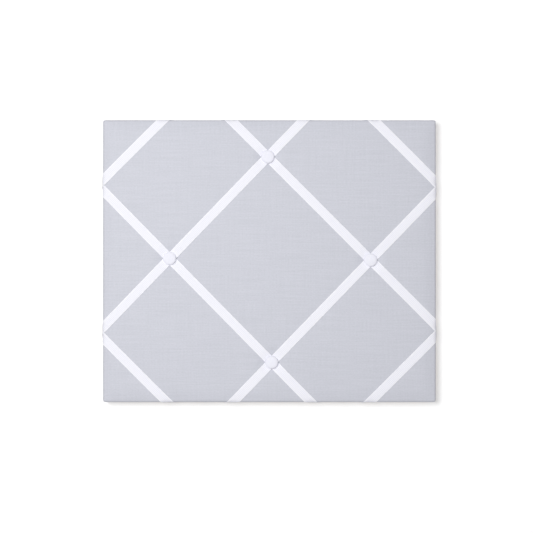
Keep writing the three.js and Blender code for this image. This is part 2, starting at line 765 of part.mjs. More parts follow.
// A D-shaped wire ring: a straight bar in the strap's curl, two arms and a round bow
function hangerRing() {
  const quarter = Math.PI / 2;
  const bar = ringHalf - RING_BEND;
  const path = [
    ...arcPoints(bar, RING_BEND, RING_BEND, -quarter, 0, BEND_STEPS),
    ...arcPoints(0, RING_ARM, ringHalf, 0, 2 * quarter, BOW_STEPS),
    ...arcPoints(-bar, RING_BEND, RING_BEND, 2 * quarter, 3 * quarter, BEND_STEPS),
  ];
  const positions = [];
  const index = [];
  path.forEach((point, i) => {
    const before = path[(i + path.length - 1) % path.length];
    const after = path[(i + 1) % path.length];
    const ahead = after.clone().sub(point).normalize();
    const tangent = point.clone().sub(before).normalize().add(ahead).normalize();
    for (let side = 0; side < WIRE_SIDES; side++) {
      const angle = side / WIRE_SIDES * 2 * Math.PI;
      const out = RING_WIRE / 2 * Math.cos(angle);
      positions.push(point.x + tangent.y * out, RING_WIRE / 2 * Math.sin(angle), point.y - tangent.x * out);
      const next = (side + 1) % WIRE_SIDES;
      const here = i * WIRE_SIDES;
      const there = (i + 1) % path.length * WIRE_SIDES;
      index.push(here + side, there + side, here + next, here + next, there + side, there + next);
    }
  });
  return solidOf(geometryFrom(positions, index));
}

// A pan-head wood screw with a tapered point and a cross recess
function hangerScrew() {
  const place = new THREE.Vector2(0, -SCREW_DROP);
  const head = SCREW_HEAD / 2;
  const shank = SCREW_SHANK / 2;
  const seat = strapRear + LAY_GAP;
  const tip = seat - SCREW_LENGTH;
  const top = seat + SCREW_HEAD_HEIGHT;
  const crown = arcPoints(0, 0, 1, 0, Math.PI / 2, BEND_STEPS).map(({ x, y }) => (
    [head * x, seat + SCREW_HEAD_SIDE + (SCREW_HEAD_HEIGHT - SCREW_HEAD_SIDE) * y]
  ));
  const body = turned([[0, tip], [shank, tip + SCREW_POINT], [shank, seat], [head, seat], ...crown], place);
  const recess = [[SCREW_CROSS_SPAN, SCREW_CROSS_WIDTH], [SCREW_CROSS_WIDTH, SCREW_CROSS_SPAN]];
  return subtractAll(body, recess.map(([width, height]) => (
    solidOf(box(width, 2 * SCREW_CROSS_DEPTH, height).translate(place.x, top, place.y))
  )));
}

// A hanger: strap, ring and screw, placed behind the back sheet at the ring's pivot.
// The ring leans on the back sheet, as it does when nothing hangs on it.
function hanger(side) {
  const group = new THREE.Group();
  group.position.set(hangerPlaces[side].x, sheetRear + GLUE_LINE, hangerPlaces[side].y);
  const ring = piece(`hanger_ring_${side}`, hangerRing(), 'steel');
  ring.position.y = curlRadius;
  ring.rotation.x = Math.asin((curlRadius - RING_WIRE / 2 - LAY_GAP) / ringTop);
  group.add(piece(`hanger_strap_${side}`, hangerStrap(), 'steel'), ring);
  group.add(piece(`hanger_screw_${side}`, hangerScrew(), 'steel'));
  return group;
}

// A soft bumper with a straight side, a round shoulder and a flat face that rests on the wall
function bumper(side) {
  const place = new THREE.Vector2(side * (halfWidth - BUMPER_INSET), BUMPER_INSET - halfHeight);
  const radius = BUMPER_DIAMETER / 2;
  const face = BUMPER_FACE / 2;
  const shoulder = arcPoints(0, 0, 1, 0, Math.PI / 2, BEND_STEPS).map(({ x, y }) => (
    [face + (radius - face) * x, (BUMPER_DEPTH - BUMPER_SIDE) * (y - 1)]
  ));
  return turned([[0, -BUMPER_DEPTH], [radius, -BUMPER_DEPTH], ...shoulder, [0, 0]], place);
}

function buildBoard() {
  const board = new THREE.Group();
  const sites = stapleSites();
  const slotsOf = (chosen) => chosen.flatMap(stapleSlots);

  const sides = { top: [true, 1], bottom: [true, -1], left: [false, -1], right: [false, 1] };
  for (const [side, [across, sign]] of Object.entries(sides)) {
    const here = sites.filter(({ place, turn }) => (
      across ? turn === 0 && Math.sign(place.z) === sign : turn > 0 && Math.sign(place.x) === sign
    ));
    const drills = across ? [] : screwDrills();
    board.add(piece(`batten_${side}`, batten(across, sign, [...slotsOf(here), ...drills]), 'pine'));
  }
  board.add(piece('face_panel', facePanel(), 'hardboard'));
  board.add(piece('foam_pad', foamPad(), 'foam'));
  board.add(piece('fabric_cover', fabricCover(slotsOf(sites)), 'cloth'));

  for (const ribbon of ribbons) {
    const solid = ribbonSolid(ribbon, [...slotsOf(sites), ...pinDrills()]);
    board.add(piece(`ribbon_${ribbon.name}`, solid, 'ribbon'));
  }
  for (const site of sites) board.add(piece(site.name, stapleSolid(site), 'steel'));

  for (const [name, place] of Object.entries(buttonPlaces)) {
    board.add(piece(`button_cap_${name}`, buttonCap(place), 'button'));
    board.add(piece(`button_plate_${name}`, buttonPlate(place), 'steel'));
    board.add(piece(`button_pin_${name}`, buttonPin(place), 'steel'));
  }

  board.add(piece('back_sheet', backSheet(), 'card'));
  board.add(hanger('left'), hanger('right'));
  board.add(piece('bumper_left', bumper(-1), 'rubber'), piece('bumper_right', bumper(1), 'rubber'));
  return board;
}

export default buildBoard();
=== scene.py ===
"""Looks of a french memo board: padded cloth face, ribbon lattice, covered buttons and a hanging back.

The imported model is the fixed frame. Soft and turned pieces are built again as surfaces worked out with numpy,
in metres and in the frame's own axes: X to the right, Z up, the front towards -Y and the wall at y = 0.
A place on the flat cloth is a pair, to the right and up, before the cloth is pulled over the board's edges.
"""

import json
import logging
import math
from collections.abc import Callable
from dataclasses import dataclass, field, replace
from enum import Enum
from functools import partial
from itertools import product
from typing import Any, NamedTuple

import bmesh
import bpy
import numpy as np
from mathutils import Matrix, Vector

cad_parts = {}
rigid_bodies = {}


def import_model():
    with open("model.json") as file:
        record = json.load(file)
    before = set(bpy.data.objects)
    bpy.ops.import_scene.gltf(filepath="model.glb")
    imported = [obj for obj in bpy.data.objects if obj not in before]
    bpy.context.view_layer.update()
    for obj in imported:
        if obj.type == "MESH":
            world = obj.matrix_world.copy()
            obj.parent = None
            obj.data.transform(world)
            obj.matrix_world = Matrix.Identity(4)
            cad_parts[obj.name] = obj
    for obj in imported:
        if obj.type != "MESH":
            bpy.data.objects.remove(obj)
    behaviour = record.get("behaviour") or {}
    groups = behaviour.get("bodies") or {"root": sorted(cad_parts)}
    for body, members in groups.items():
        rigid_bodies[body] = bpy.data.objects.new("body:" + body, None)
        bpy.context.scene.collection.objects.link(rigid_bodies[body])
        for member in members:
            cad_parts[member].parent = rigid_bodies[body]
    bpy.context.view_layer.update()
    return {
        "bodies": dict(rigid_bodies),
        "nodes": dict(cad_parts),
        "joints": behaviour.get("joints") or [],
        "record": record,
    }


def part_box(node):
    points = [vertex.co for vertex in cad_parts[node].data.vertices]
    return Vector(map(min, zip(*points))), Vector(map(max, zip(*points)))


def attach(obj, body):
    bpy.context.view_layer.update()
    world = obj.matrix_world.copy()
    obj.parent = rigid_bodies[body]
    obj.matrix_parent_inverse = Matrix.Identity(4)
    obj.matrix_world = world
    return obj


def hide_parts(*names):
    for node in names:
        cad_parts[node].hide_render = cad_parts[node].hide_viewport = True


LOG = logging.getLogger("memo_board")
Array = np.ndarray
# Lines of a grid, across and up.
Lines = tuple[Array, Array]
# Fine and coarse spacing of such lines.
Spacing = tuple[float, float]
Socket = bpy.types.NodeSocket
# Adds a node to one tree.
Adder = Callable[..., Any]
MM = 0.001
QUARTER = math.pi / 2
TURN = 2 * math.pi
WELD = 1e-6
WHITE = (1.0, 1.0, 1.0, 1.0)
THREADS = "threads_mm"
BUTTON_NAMES = ("left", "top", "right", "bottom")


class Body(str, Enum):
    """The CAD bodies that pieces ride on."""

    BOARD = "board"
    RING_LEFT = "ring_left"
    RING_RIGHT = "ring_right"


class Slot(str, Enum):
    """The record's material slots."""

    CLOTH = "cloth"
    RIBBON = "ribbon"
    BUTTON = "button"
    FOAM = "foam"
    CARD = "card"
    STEEL = "steel"
    RUBBER = "rubber"


class Grain(Enum):
    """The axis along which wood fibres run."""

    ACROSS = 0
    UPRIGHT = 2


class Slope(str, Enum):
    """Which way a ribbon runs from left to right. The rising set lies on top."""

    RISING = "rising"
    FALLING = "falling"


def linear(hex_colour: str) -> tuple[float, float, float, float]:
    """Turns an sRGB colour into linear light: a straight foot, then a power curve.

    Args:
        hex_colour: A # and two hexadecimal digits each for red, green and blue.

    Returns:
        Linear red, green and blue, with full alpha.
    """
    srgb = np.array(list(bytes.fromhex(hex_colour[1:]))) / 255
    light = np.where(srgb <= 0.04045, srgb / 12.92, ((srgb + 0.055) / 1.055) ** 2.4)
    return (*light.tolist(), 1.0)


def smooth(share: Array) -> Array:
    """Eases a share from 0 to 1 with level ends: 3 t squared less 2 t cubed."""
    t = np.clip(share, 0, 1)
    return t * t * (3 - 2 * t)


def add_node(
    tree: bpy.types.NodeTree, kind: str, inputs: dict[str | int, Any], output: str | int = 0, **settings: Any
) -> Socket | None:
    """Adds a node with its settings, and links or sets its inputs.

    Args:
        tree: Node tree of a material or the world.
        kind: Type of node, without its leading ShaderNode.
        inputs: Output socket to link, or value to set, by the input's name or number.
        output: Name or number of the output that is wanted.
        settings: The node's own properties.

    Returns:
        That output's socket, or None from a node that ends the tree.
    """
    node = tree.nodes.new("ShaderNode" + kind)
    for name, value in settings.items():
        setattr(node, name, value)
    for socket, value in inputs.items():
        if isinstance(value, Socket):
            tree.links.new(value, node.inputs[socket])
        else:
            node.inputs[socket].default_value = value
    return node.outputs[output] if node.outputs else None


def fresh_tree(owner: bpy.types.Material | bpy.types.World) -> Adder:
    """Clears the node tree of a material or the world.

    Args:
        owner: The material or the world.

    Returns:
        The function that adds a node to that tree.
    """
    owner.use_nodes = True
    owner.node_tree.nodes.clear()
    return partial(add_node, owner.node_tree)


class Pattern(NamedTuple):
    """What a finish draws: its tone, the span of tone from dark to light, its height and its roughness."""

    tone: Socket
    span: tuple[float, float]
    height: Socket
    rough: Socket


@dataclass(frozen=True)
class Finish:
    """A material by its common name, drawn between a colour and its darker shade.

    The spread is how far the roughness goes either way, and the relief is the height of the pattern.
    """

    name: str
    colour: str
    shade: str
    roughness: float
    metallic: float = 0.0
    sheen: float = 0.0
    spread: float = 0.1
    relief: float = 0.1 * MM

    def material(self) -> bpy.types.Material:
        """Builds the material the first time that it is asked for.

        Returns:
            The material.
        """
        known = bpy.data.materials.get(self.name)
        if known:
            return known
        material = bpy.data.materials.new(self.name)
        add = fresh_tree(material)
        drawn = self.pattern(add)
        tone = add("MapRange", {"Value": drawn.tone, "From Min": drawn.span[0], "From Max": drawn.span[1]})
        # A Mix node's colours are its inputs 6 and 7, and its output 2.
        colour = add("Mix", {0: tone, 6: linear(self.shade), 7: linear(self.colour)}, 2, data_type="RGBA")
        ends = {"To Min": self.roughness - self.spread, "To Max": self.roughness + self.spread}
        sockets = {
            "Base Color": colour,
            "Roughness": add("MapRange", {"Value": drawn.rough, **ends}),
            "Normal": add("Bump", {"Height": drawn.height, "Distance": self.relief}),
            "Metallic": self.metallic,
            "Sheen Weight": self.sheen,
        }
        add("OutputMaterial", {"Surface": add("BsdfPrincipled", sockets)})
        return material

    def pattern(self, add: Adder) -> Pattern:
        """Draws the finish with nodes. Each kind of finish has its own way."""
        raise NotImplementedError


@dataclass(frozen=True)
class SlubCloth(Finish):
    """Plain-woven cloth of uneven yarns: fine crossed threads, with thick stretches that show as streaks.

    Each kind of unevenness has a width and a height in millimetres, and a share of the whole.
    """

    spread: float = -0.05
    relief: float = 0.012 * MM
    thread: float = 1.2
    unevenness: tuple[tuple[float, float, float], ...] = (
        (48.0, 1.8, 0.36),
        (1.7, 48.0, 0.2),
        (2.4, 1.5, 0.44),
    )
    contrast: float = 2.3
    slub_height: float = 2.0

    def pattern(self, add: Adder) -> Pattern:
        """Draws streaks along both yarns and short knots, and a weave of two crossed sine waves.

        Args:
            add: Adds a node to the material's tree.

        Returns:
            The drawn pattern, in which a thick stretch of yarn is paler, higher and smoother.
        """
        threads = add("Attribute", {}, "Vector", attribute_name=THREADS)
        slub: Any = 0.0
        for width, height, share in self.unevenness:
            laid = add("VectorMath", {0: threads, 1: (1 / width, 1 / height, 0)}, operation="MULTIPLY")
            noise = {"Vector": laid, "Scale": 1.0, "Detail": 3.0, "Roughness": 0.55}
            uneven = add("TexNoise", noise, noise_dimensions="2D")
            slub = add("Math", {0: uneven, 1: share, 2: slub}, operation="MULTIPLY_ADD")
        turns = add("VectorMath", {0: threads, 1: (math.pi / self.thread,) * 3}, operation="MULTIPLY")
        waves = add("VectorMath", {0: turns}, operation="SINE")
        axes = add("SeparateXYZ", {0: waves}).node.outputs
        weave = add("Math", {0: axes["X"], 1: axes["Y"]}, operation="MULTIPLY")
        relief = add("Math", {0: slub, 1: self.slub_height, 2: weave}, operation="MULTIPLY_ADD")
        reach = 0.5 / self.contrast
        return Pattern(slub, (0.5 - reach, 0.5 + reach), relief, slub)


@dataclass(frozen=True)
class RibbedRibbon(Finish):
    """Grosgrain ribbon: fine ribs across it with painted shade between them, and two smooth selvedges. Sizes
    are in millimetres.
    """

    spread: float = 0.06
    relief: float = 0.07 * MM
    half_width: float = 5.5
    selvedge: float = 1.3
    fade_share: float = 1 / 3
    rib: float = 1.8
    yarn_run: float = 14.4
    span: tuple[float, float] = (-0.6, 0.6)

    def pattern(self, add: Adder) -> Pattern:
        """Draws ribs as a sine wave along the ribbon, which fades out at the selvedges, over uneven yarns.

        Args:
            add: Adds a node to the material's tree.

        Returns:
            The drawn pattern, in which the ribs are rougher than the selvedges, and whose tone is the height,
            so the troughs between ribs carry painted shade.
        """
        threads = add("Attribute", {}, "Vector", attribute_name=THREADS)
        axes = add("SeparateXYZ", {0: threads}).node.outputs
        turns = add("Math", {0: axes["Y"], 1: TURN / self.rib}, operation="MULTIPLY")
        wave = add("Math", {0: turns}, operation="SINE")
        away = add("Math", {0: axes["X"]}, operation="ABSOLUTE")
        inner = self.half_width - self.selvedge
        fade = {"From Min": inner, "From Max": inner + self.selvedge * self.fade_share}
        ribbed = add("MapRange", {"Value": away, **fade, "To Min": 1.0, "To Max": 0.0})
        ribs = add("Math", {0: wave, 1: ribbed}, operation="MULTIPLY")
        laid = add("VectorMath", {0: threads, 1: (1 / self.rib, 1 / self.yarn_run, 0)}, operation="MULTIPLY")
        yarn = add("TexNoise", {"Vector": laid, "Scale": 1.0, "Detail": 2.0}, noise_dimensions="2D")
        # The colour follows this height: troughs between ribs are painted darker, as shade, and the yarn noise
        # is the ribbon's own tone.
        height = add("Math", {0: ribs, 1: yarn}, operation="ADD")
        return Pattern(height, self.span, height, ribbed)


@dataclass(frozen=True)
class Speckled(Finish):
    """Pressed, foamed or moulded stuff: grains or cells in millimetres, and a slower change of tone."""

    grain: float = 1.0
    stretch: tuple[float, float, float] = (1.0, 1.0, 1.0)
    grain_share: float = 0.6
    mottle_scale: float = 0.06
    cells: bool = False

    def pattern(self, add: Adder) -> Pattern:
        """Draws grains by noise, or cells by distance to scattered points, over a broad mottle; cell hollows
        are painted darker, as shade.

        Args:
            add: Adds a node to the material's tree.

        Returns:
            The drawn pattern, whose tone spans the middle half of what grains and mottle give together.
        """
        place = add("TexCoord", {}, "Object")
        scale = tuple(1 / (self.grain * MM * way) for way in self.stretch)
        laid = add("VectorMath", {0: place, 1: scale}, operation="MULTIPLY")
        fine = add("TexVoronoi" if self.cells else "TexNoise", {"Vector": laid, "Scale": 1.0})
        mottle = add("TexNoise", {"Vector": laid, "Scale": self.mottle_scale, "Detail": 4.0})
        # With cells, the tone rises with the distance from a cell's middle, so the hollows are painted darker,
        # as shade.
        tone = add("Math", {0: fine, 1: self.grain_share, 2: mottle}, operation="MULTIPLY_ADD")
        whole = self.grain_share + 1
        return Pattern(tone, (whole / 4, whole * 3 / 4), fine, mottle)


@dataclass(frozen=True)
class SawnPine(Finish):
    """Planed pine: pale early wood, with darker late-wood lines along the batten. Sizes in millimetres."""

    relief: float = 0.06 * MM
    grain: Grain = Grain.ACROSS
    ring: float = 4.5
    run: float = 160.0
    waviness: float = 6.0
    fibres_to_ring: float = 5.0
    fibre_share: float = 0.4
    span: tuple[float, float] = (0.1, 1.2)

    def pattern(self, add: Adder) -> Pattern:
        """Draws growth rings as distorted bands, stretched along the grain, with fine fibres on them.

        Args:
            add: Adds a node to the material's tree.

        Returns:
            The drawn pattern.
        """
        place = add("TexCoord", {}, "Object")
        scale = [1 / (self.ring * MM)] * 3
        scale[self.grain.value] = 1 / (self.run * MM)
        laid = add("VectorMath", {0: place, 1: scale}, operation="MULTIPLY")
        # At a scale of 0.3 the wave node draws about one band to each ring.
        bands = {"Vector": laid, "Scale": 0.3, "Distortion": self.waviness, "Detail": 2.0}
        rings = add("TexWave", bands, "Fac", bands_direction="Z")
        fibre = add("TexNoise", {"Vector": laid, "Scale": self.fibres_to_ring, "Detail": 3.0})
        tone = add("Math", {0: fibre, 1: self.fibre_share, 2: rings}, operation="MULTIPLY_ADD")
        return Pattern(tone, self.span, tone, fibre)


# Slub cloth of lustrous yarns has a broad, soft gloss that fades away from the light, and faint streaks. Its
# real threads are 0.4 mm apart; they are drawn at 1.2 mm, because finer ones don't show.
CLOTH = SlubCloth("blue_grey_slub_cloth", "#d3d4de", "#c5c7d0", roughness=0.58, sheen=0.05)
# Covered buttons take a finer, matt white cotton, drawn at twice its thread spacing, to show.
BUTTON_CLOTH = SlubCloth(
    "white_plain_cotton", "#f9f9ff", "#f0f0fe", roughness=0.75, sheen=0.1, thread=0.8, relief=0.04 * MM,
    unevenness=((6.0, 0.9, 0.3), (0.9, 6.0, 0.3), (1.2, 1.2, 0.4)),
)
# Grosgrain is bright and half matt. Its ribs are 0.9 mm apart and are drawn at twice that, to show, with
# painted shade in the troughs between them.
RIBBON = RibbedRibbon("white_grosgrain_ribbon", "#fafaff", "#ededfd", roughness=0.54, sheen=0.1)
# Upholstery foam is dull and cream, with open cells whose hollows carry painted shade.
FOAM = Speckled(
    "cream_upholstery_foam", "#f1ebd9", "#ddd3b8", roughness=0.88, grain=0.9, cells=True, relief=0.2 * MM
)
# Hardboard is pressed wood fibre: brown, smooth and slightly mottled.
HARDBOARD = Speckled("pressed_hardboard", "#86623f", "#6a4a2e", roughness=0.7, grain=0.8, relief=0.03 * MM)
# Kraft card is dull tan, with short fibres that lie mostly one way.
CARD = Speckled(
    "kraft_card", "#cdb089", "#ba9a70", roughness=0.86, grain=0.6, stretch=(3, 1, 1), grain_share=2.0,
    relief=0.03 * MM,
)
# Zinc-plated steel is a cool, half-bright metal with fine drawing marks.
STEEL = Speckled(
    "zinc_plated_steel", "#cfd2d6", "#b4b8be", roughness=0.32, metallic=1.0, grain=0.25, stretch=(1, 1, 8),
    relief=0.004 * MM,
)
# Bumpers are moulded soft polymer: milky, smooth and half matt.
RUBBER = Speckled("milky_soft_polymer", "#e7e5df", "#d9d6ce", roughness=0.5, grain=0.6, relief=0.01 * MM)
# Planed pine is pale and half matt, with brown lines along the batten.
PINE_ACROSS = SawnPine("sawn_pine_across", "#dfc195", "#bd935c", roughness=0.65)
PINE_UPRIGHT = replace(PINE_ACROSS, name="sawn_pine_upright", grain=Grain.UPRIGHT)


@dataclass
class Surface:
    """Grids of points that share their borders and become one mesh, with seams and poles welded."""

    points: list[Array] = field(default_factory=list)
    faces: list[list[int]] = field(default_factory=list)
    threads: list[Array] = field(default_factory=list)

    def add(self, points: Array, threads: Array | None = None, flip: bool = False) -> None:
        """Adds a grid, with a quad between each two rows and columns.

        Args:
            points: Places in metres, as rows, columns and three axes.
            threads: Places of the same points on the flat cloth, in metres, for a woven piece.
            flip: Turns the quads over.
        """
        rows, columns = points.shape[:2]
        start = sum(len(known) for known in self.points)
        numbers = start + np.arange(rows * columns).reshape(rows, columns)
        numbers = numbers[:, ::-1] if flip else numbers
        corners = [numbers[:-1, :-1], numbers[:-1, 1:], numbers[1:, 1:], numbers[1:, :-1]]
        self.faces.extend(np.stack(corners, axis=-1).reshape(-1, 4).tolist())
        self.points.append(points.reshape(-1, 3))
        if threads is not None:
            flat = np.zeros((rows * columns, 3))
            flat[:, :2] = threads.reshape(-1, 2) / MM
            self.threads.append(flat)

    def mesh(self, name: str) -> bpy.types.Mesh:
        """Makes the mesh, with its flat cloth coordinates in millimetres.

        Args:
            name: Name of the mesh.

        Returns:
            The mesh, before it is welded.
        """
        mesh = bpy.data.meshes.new(name)
        mesh.from_pydata(np.concatenate(self.points).tolist(), [], self.faces)
        if self.threads:
            layer = mesh.attributes.new(THREADS, "FLOAT_VECTOR", "POINT")
            layer.data.foreach_set("vector", np.concatenate(self.threads).ravel())
        return mesh

    def piece(self, name: str, finish: Finish, crease: float | None = None) -> bpy.types.Object:
        """Makes a piece of that name in a finish, as piece_of does."""
        return piece_of(self.mesh(name), finish.material(), crease)


def piece_of(
    mesh: bpy.types.Mesh, material: bpy.types.Material, crease: float | None = None
) -> bpy.types.Object:
    """Welds a mesh, shades it, gives it a material and puts it in the scene under its own name.

    Args:
        mesh: The mesh.
        material: What the piece is made of.
        crease: Angle in degrees past which an edge stays sharp, or None for a soft piece.

    Returns:
        The piece, at the origin.
    """
    welded = bmesh.new()
    welded.from_mesh(mesh)
    bmesh.ops.remove_doubles(welded, verts=welded.verts, dist=WELD)
    welded.to_mesh(mesh)
    welded.free()
    mesh.shade_smooth()
    if crease is not None:
        mesh.set_sharp_from_angle(angle=math.radians(crease))
    mesh.materials.clear()
    mesh.materials.append(material)
    piece = bpy.data.objects.new(mesh.name, mesh)
    bpy.context.scene.collection.objects.link(piece)
    return piece


def thicken(piece: bpy.types.Object, thickness: float, offset: float = -1.0) -> None:
    """Gives a sheet its thickness.

    Args:
        piece: The sheet.
        thickness: Its thickness.
        offset: -1 for a sheet modelled by its outside, and 0 for one modelled by its middle.
    """
    wall = piece.modifiers.new("thickness", "SOLIDIFY")
    wall.thickness = thickness
    wall.offset = offset


def settle(piece: bpy.types.Object, body: Body, slot: Slot, *nodes: str) -> None:
    """Rides a piece on its body and reports it.

    Args:
        piece: The piece.
        body: The CAD body that it moves with.
        slot: The record's material slot; not used.
        nodes: The CAD nodes that it stands for.
    """
    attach(piece, body.value)
    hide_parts(*nodes)
    LOG.info("%s rides on %s and stands for %s", piece.name, body.value, ", ".join(nodes))


def stand(flat: Array, depth: Array | float) -> Array:
    """Stands flat places up in the frame, with a depth between their places to the right and up."""
    return np.stack([flat[..., 0], np.broadcast_to(depth, flat.shape[:-1]), flat[..., 1]], axis=-1)


def arc(centre: tuple[float, float], radius: float, start: float, stop: float, steps: int) -> Array:
    """Returns points of a circle's arc in a plane, from one angle to another."""
    angle = np.linspace(start, stop, steps + 1)
    return np.stack([centre[0] + radius * np.cos(angle), centre[1] + radius * np.sin(angle)], axis=-1)


def turned(profile: Array, centre: Array, steps: int, pleat: Array | float = 0.0, pleats: int = 0) -> Array:
    """Turns a profile about an axis that runs from front to back.

    Each point is the centre plus its radius times the cosine and sine of the angle. Pleats add to the radius
    a cosine of the angle times their number.

    Args:
        profile: Radius and depth of each point, from the front to the back.
        centre: Place of the axis, to the right and up.
        steps: Number of facets round the axis.
        pleat: Height of the pleats at each point.
        pleats: Number of pleats round the axis.

    Returns:
        Grid of points whose quads face inwards until they are flipped.
    """
    angle = np.linspace(0, TURN, steps + 1)
    radius = profile[:, :1] + np.reshape(pleat, (-1, 1)) * np.cos(pleats * angle)
    return stand(centre + radius[..., None] * arc((0, 0), 1, 0, TURN, steps), profile[:, 1:])


def crowded_lines(half: float, places: Array, spacing: Spacing, reach: float, samples: int = 4001) -> Array:
    """Spreads grid lines that crowd near some places: their density is summed and cut into equal shares.

    The density is that of the coarse spacing, and near a place it rises to that of the fine one, by the
    exponential of minus the fourth power of the distance over the reach.

    Args:
        half: The lines run from minus this to plus this.
        places: Where the lines crowd.
        spacing: Fine spacing at those places, and coarse spacing elsewhere.
        reach: How far from a place the lines still crowd.
        samples: Number of places at which the density is summed.

    Returns:
        The lines' places, in rising order.
    """
    fine, coarse = spacing
    sample = np.linspace(-half, half, samples)
    near = np.exp(-(((sample[:, None] - places[None, :]) / reach) ** 4)).max(axis=1)
    density = 1 / coarse + near * (1 / fine - 1 / coarse)
    total = np.concatenate([[0], np.cumsum((density[1:] + density[:-1]) / 2 * np.diff(sample))])
    return np.interp(np.linspace(0, total[-1], math.ceil(total[-1]) + 1), total, sample)


def grid(lines: Lines) -> Array:
    """Returns the places where lines across and up meet, as rows up and columns across."""
    return np.stack(np.meshgrid(*lines), axis=-1)


def border(points: Array) -> tuple[Array, Array]:
    """Walks round the border of a grid: along its lowest row, up, back along the highest and down.

    Args:
        points: The grid, as rows up and columns across.

    Returns:
        The points on the border, the last like the first, and the outward direction at each.
    """
    walk = [points[0, :-1], points[:-1, -1], points[-1, :0:-1], points[:0:-1, 0]]
    directions = np.array([[0, -1], [1, 0], [0, 1], [-1, 0]])
    outward = np.repeat(directions, [len(part) for part in walk], axis=0)
    return np.concatenate([*walk, walk[0][:1]]), np.concatenate([outward, outward[:1]])


def face_of(node: str) -> tuple[Array, Array]:
    """Returns a CAD node's middle and its half size, to the right and up."""
    low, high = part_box(node)
    return tuple(np.array([place.x, place.z]) for place in ((low + high) / 2, (high - low) / 2))


@dataclass(frozen=True)
class BoardForm:
    """Outside of the covered board, and the way that flat cloth lies over its edges."""

    half_width: float
    half_height: float
    front: float
    back: float
    front_round: float = 3.0 * MM
    back_round: float = 2.0 * MM
    corner_round: float = 1.8 * MM

    @classmethod
    def from_node(cls, node: str) -> "BoardForm":
        """Takes the sizes from a CAD node."""
        low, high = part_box(node)
        return cls(half_width=high.x, half_height=high.z, front=low.y, back=high.y)

    @property
    def half(self) -> Array:
        """Half sizes, to the right and up."""
        return np.array([self.half_width, self.half_height])

    @property
    def turn(self) -> Array:
        """Half sizes of the flat front, up to the lines where it starts to turn."""
        return self.half - self.front_round

    @property
    def edge_runs(self) -> tuple[float, float, float]:
        """Lengths of cloth over the front round, down the side and over the back round."""
        side = self.back - self.front - self.front_round - self.back_round
        return self.front_round * QUARTER, side, self.back_round * QUARTER

    def over_edge(self, run: Array, lift: Array | float) -> tuple[Array, Array]:
        """Carries cloth over an edge: a quarter circle, the straight side, a quarter circle and the hem.

        Args:
            run: Length of cloth past the line where the front starts to turn; less than 0 on the front.
            lift: Height above the cloth.

        Returns:
            How far outside that line each point lies, and its depth.
        """
        front_run, side, _ = self.edge_runs
        rolled = np.clip(run / self.front_round, 0, QUARTER)
        down = np.clip(run - front_run, 0, side)
        past = run - front_run - side
        tucked = np.clip(past / self.back_round, 0, QUARTER)
        hem = np.maximum(past - self.back_round * QUARTER, 0)
        lean = rolled + tucked
        out = np.minimum(run, 0) + self.front_round * np.sin(rolled)
        out = out - self.back_round * (1 - np.cos(tucked)) - hem
        depth = self.front + self.front_round * (1 - np.cos(rolled)) + down + self.back_round * np.sin(tucked)
        return out + lift * np.sin(lean), depth - lift * np.cos(lean)

    def place(self, flat: Array, lift: Array | float, dent: Array) -> Array:
        """Carries places on the flat cloth onto the board, at a lift off it and a dent in its front."""
        out, depth = self.over_edge(np.abs(flat) - self.turn, np.asarray(lift)[..., None])
        return stand(np.sign(flat) * (self.turn + out), depth.sum(axis=-1) - self.front + lift + dent)

    def inset(self, flat: Array, reach: float) -> Array:
        """Returns 0 from the turn of the edge outwards, rising to 1 at a reach inside it."""
        return smooth((self.turn - np.abs(flat)).min(axis=-1) / reach)

    def round_corners(self, points: Array) -> Array:
        """Rounds the outline's corners: a square corner is drawn in along rays until it is a quarter circle.

        Args:
            points: Places in the frame.

        Returns:
            The places with round corners.
        """
        flat = points[..., [0, 2]]
        centre = self.half - self.corner_round
        past = np.abs(flat) - centre
        in_corner = (past > 0).all(axis=-1, keepdims=True)
        share = past.max(axis=-1) / np.maximum(np.linalg.norm(past, axis=-1), WELD)
        corner = np.sign(flat) * (centre + past * share[..., None])
        return stand(np.where(in_corner, corner, flat), points[..., 1])


@dataclass(frozen=True)
class Course:
    """A ribbon's straight course over the flat cloth, from left to right."""

    slope: Slope
    number: int
    origin: Array
    along: Array
    ends: tuple[float, float]
    shears: tuple[float, float]
    touch: float = 1 * MM

    @property
    def name(self) -> str:
        """Name of the ribbon in the frame, without its first word."""
        return f"{self.slope.value}_{self.number}"

    @property
    def across(self) -> Array:
        """Direction square to the course."""
        return np.array([-self.along[1], self.along[0]])

    @property
    def length(self) -> float:
        """Cut length of the ribbon."""
        return self.ends[1] - self.ends[0]

    def offsets(self, flat: Array) -> tuple[Array, Array]:
        """Returns how far places on the flat cloth lie along and across the ribbon's middle line."""
        away = flat - self.origin
        return away @ self.along, away @ self.across

    def passes(self, place: Array) -> bool:
        """Tells whether the ribbon's middle line runs through a place."""
        return bool(abs(self.offsets(place)[1]) < self.touch)


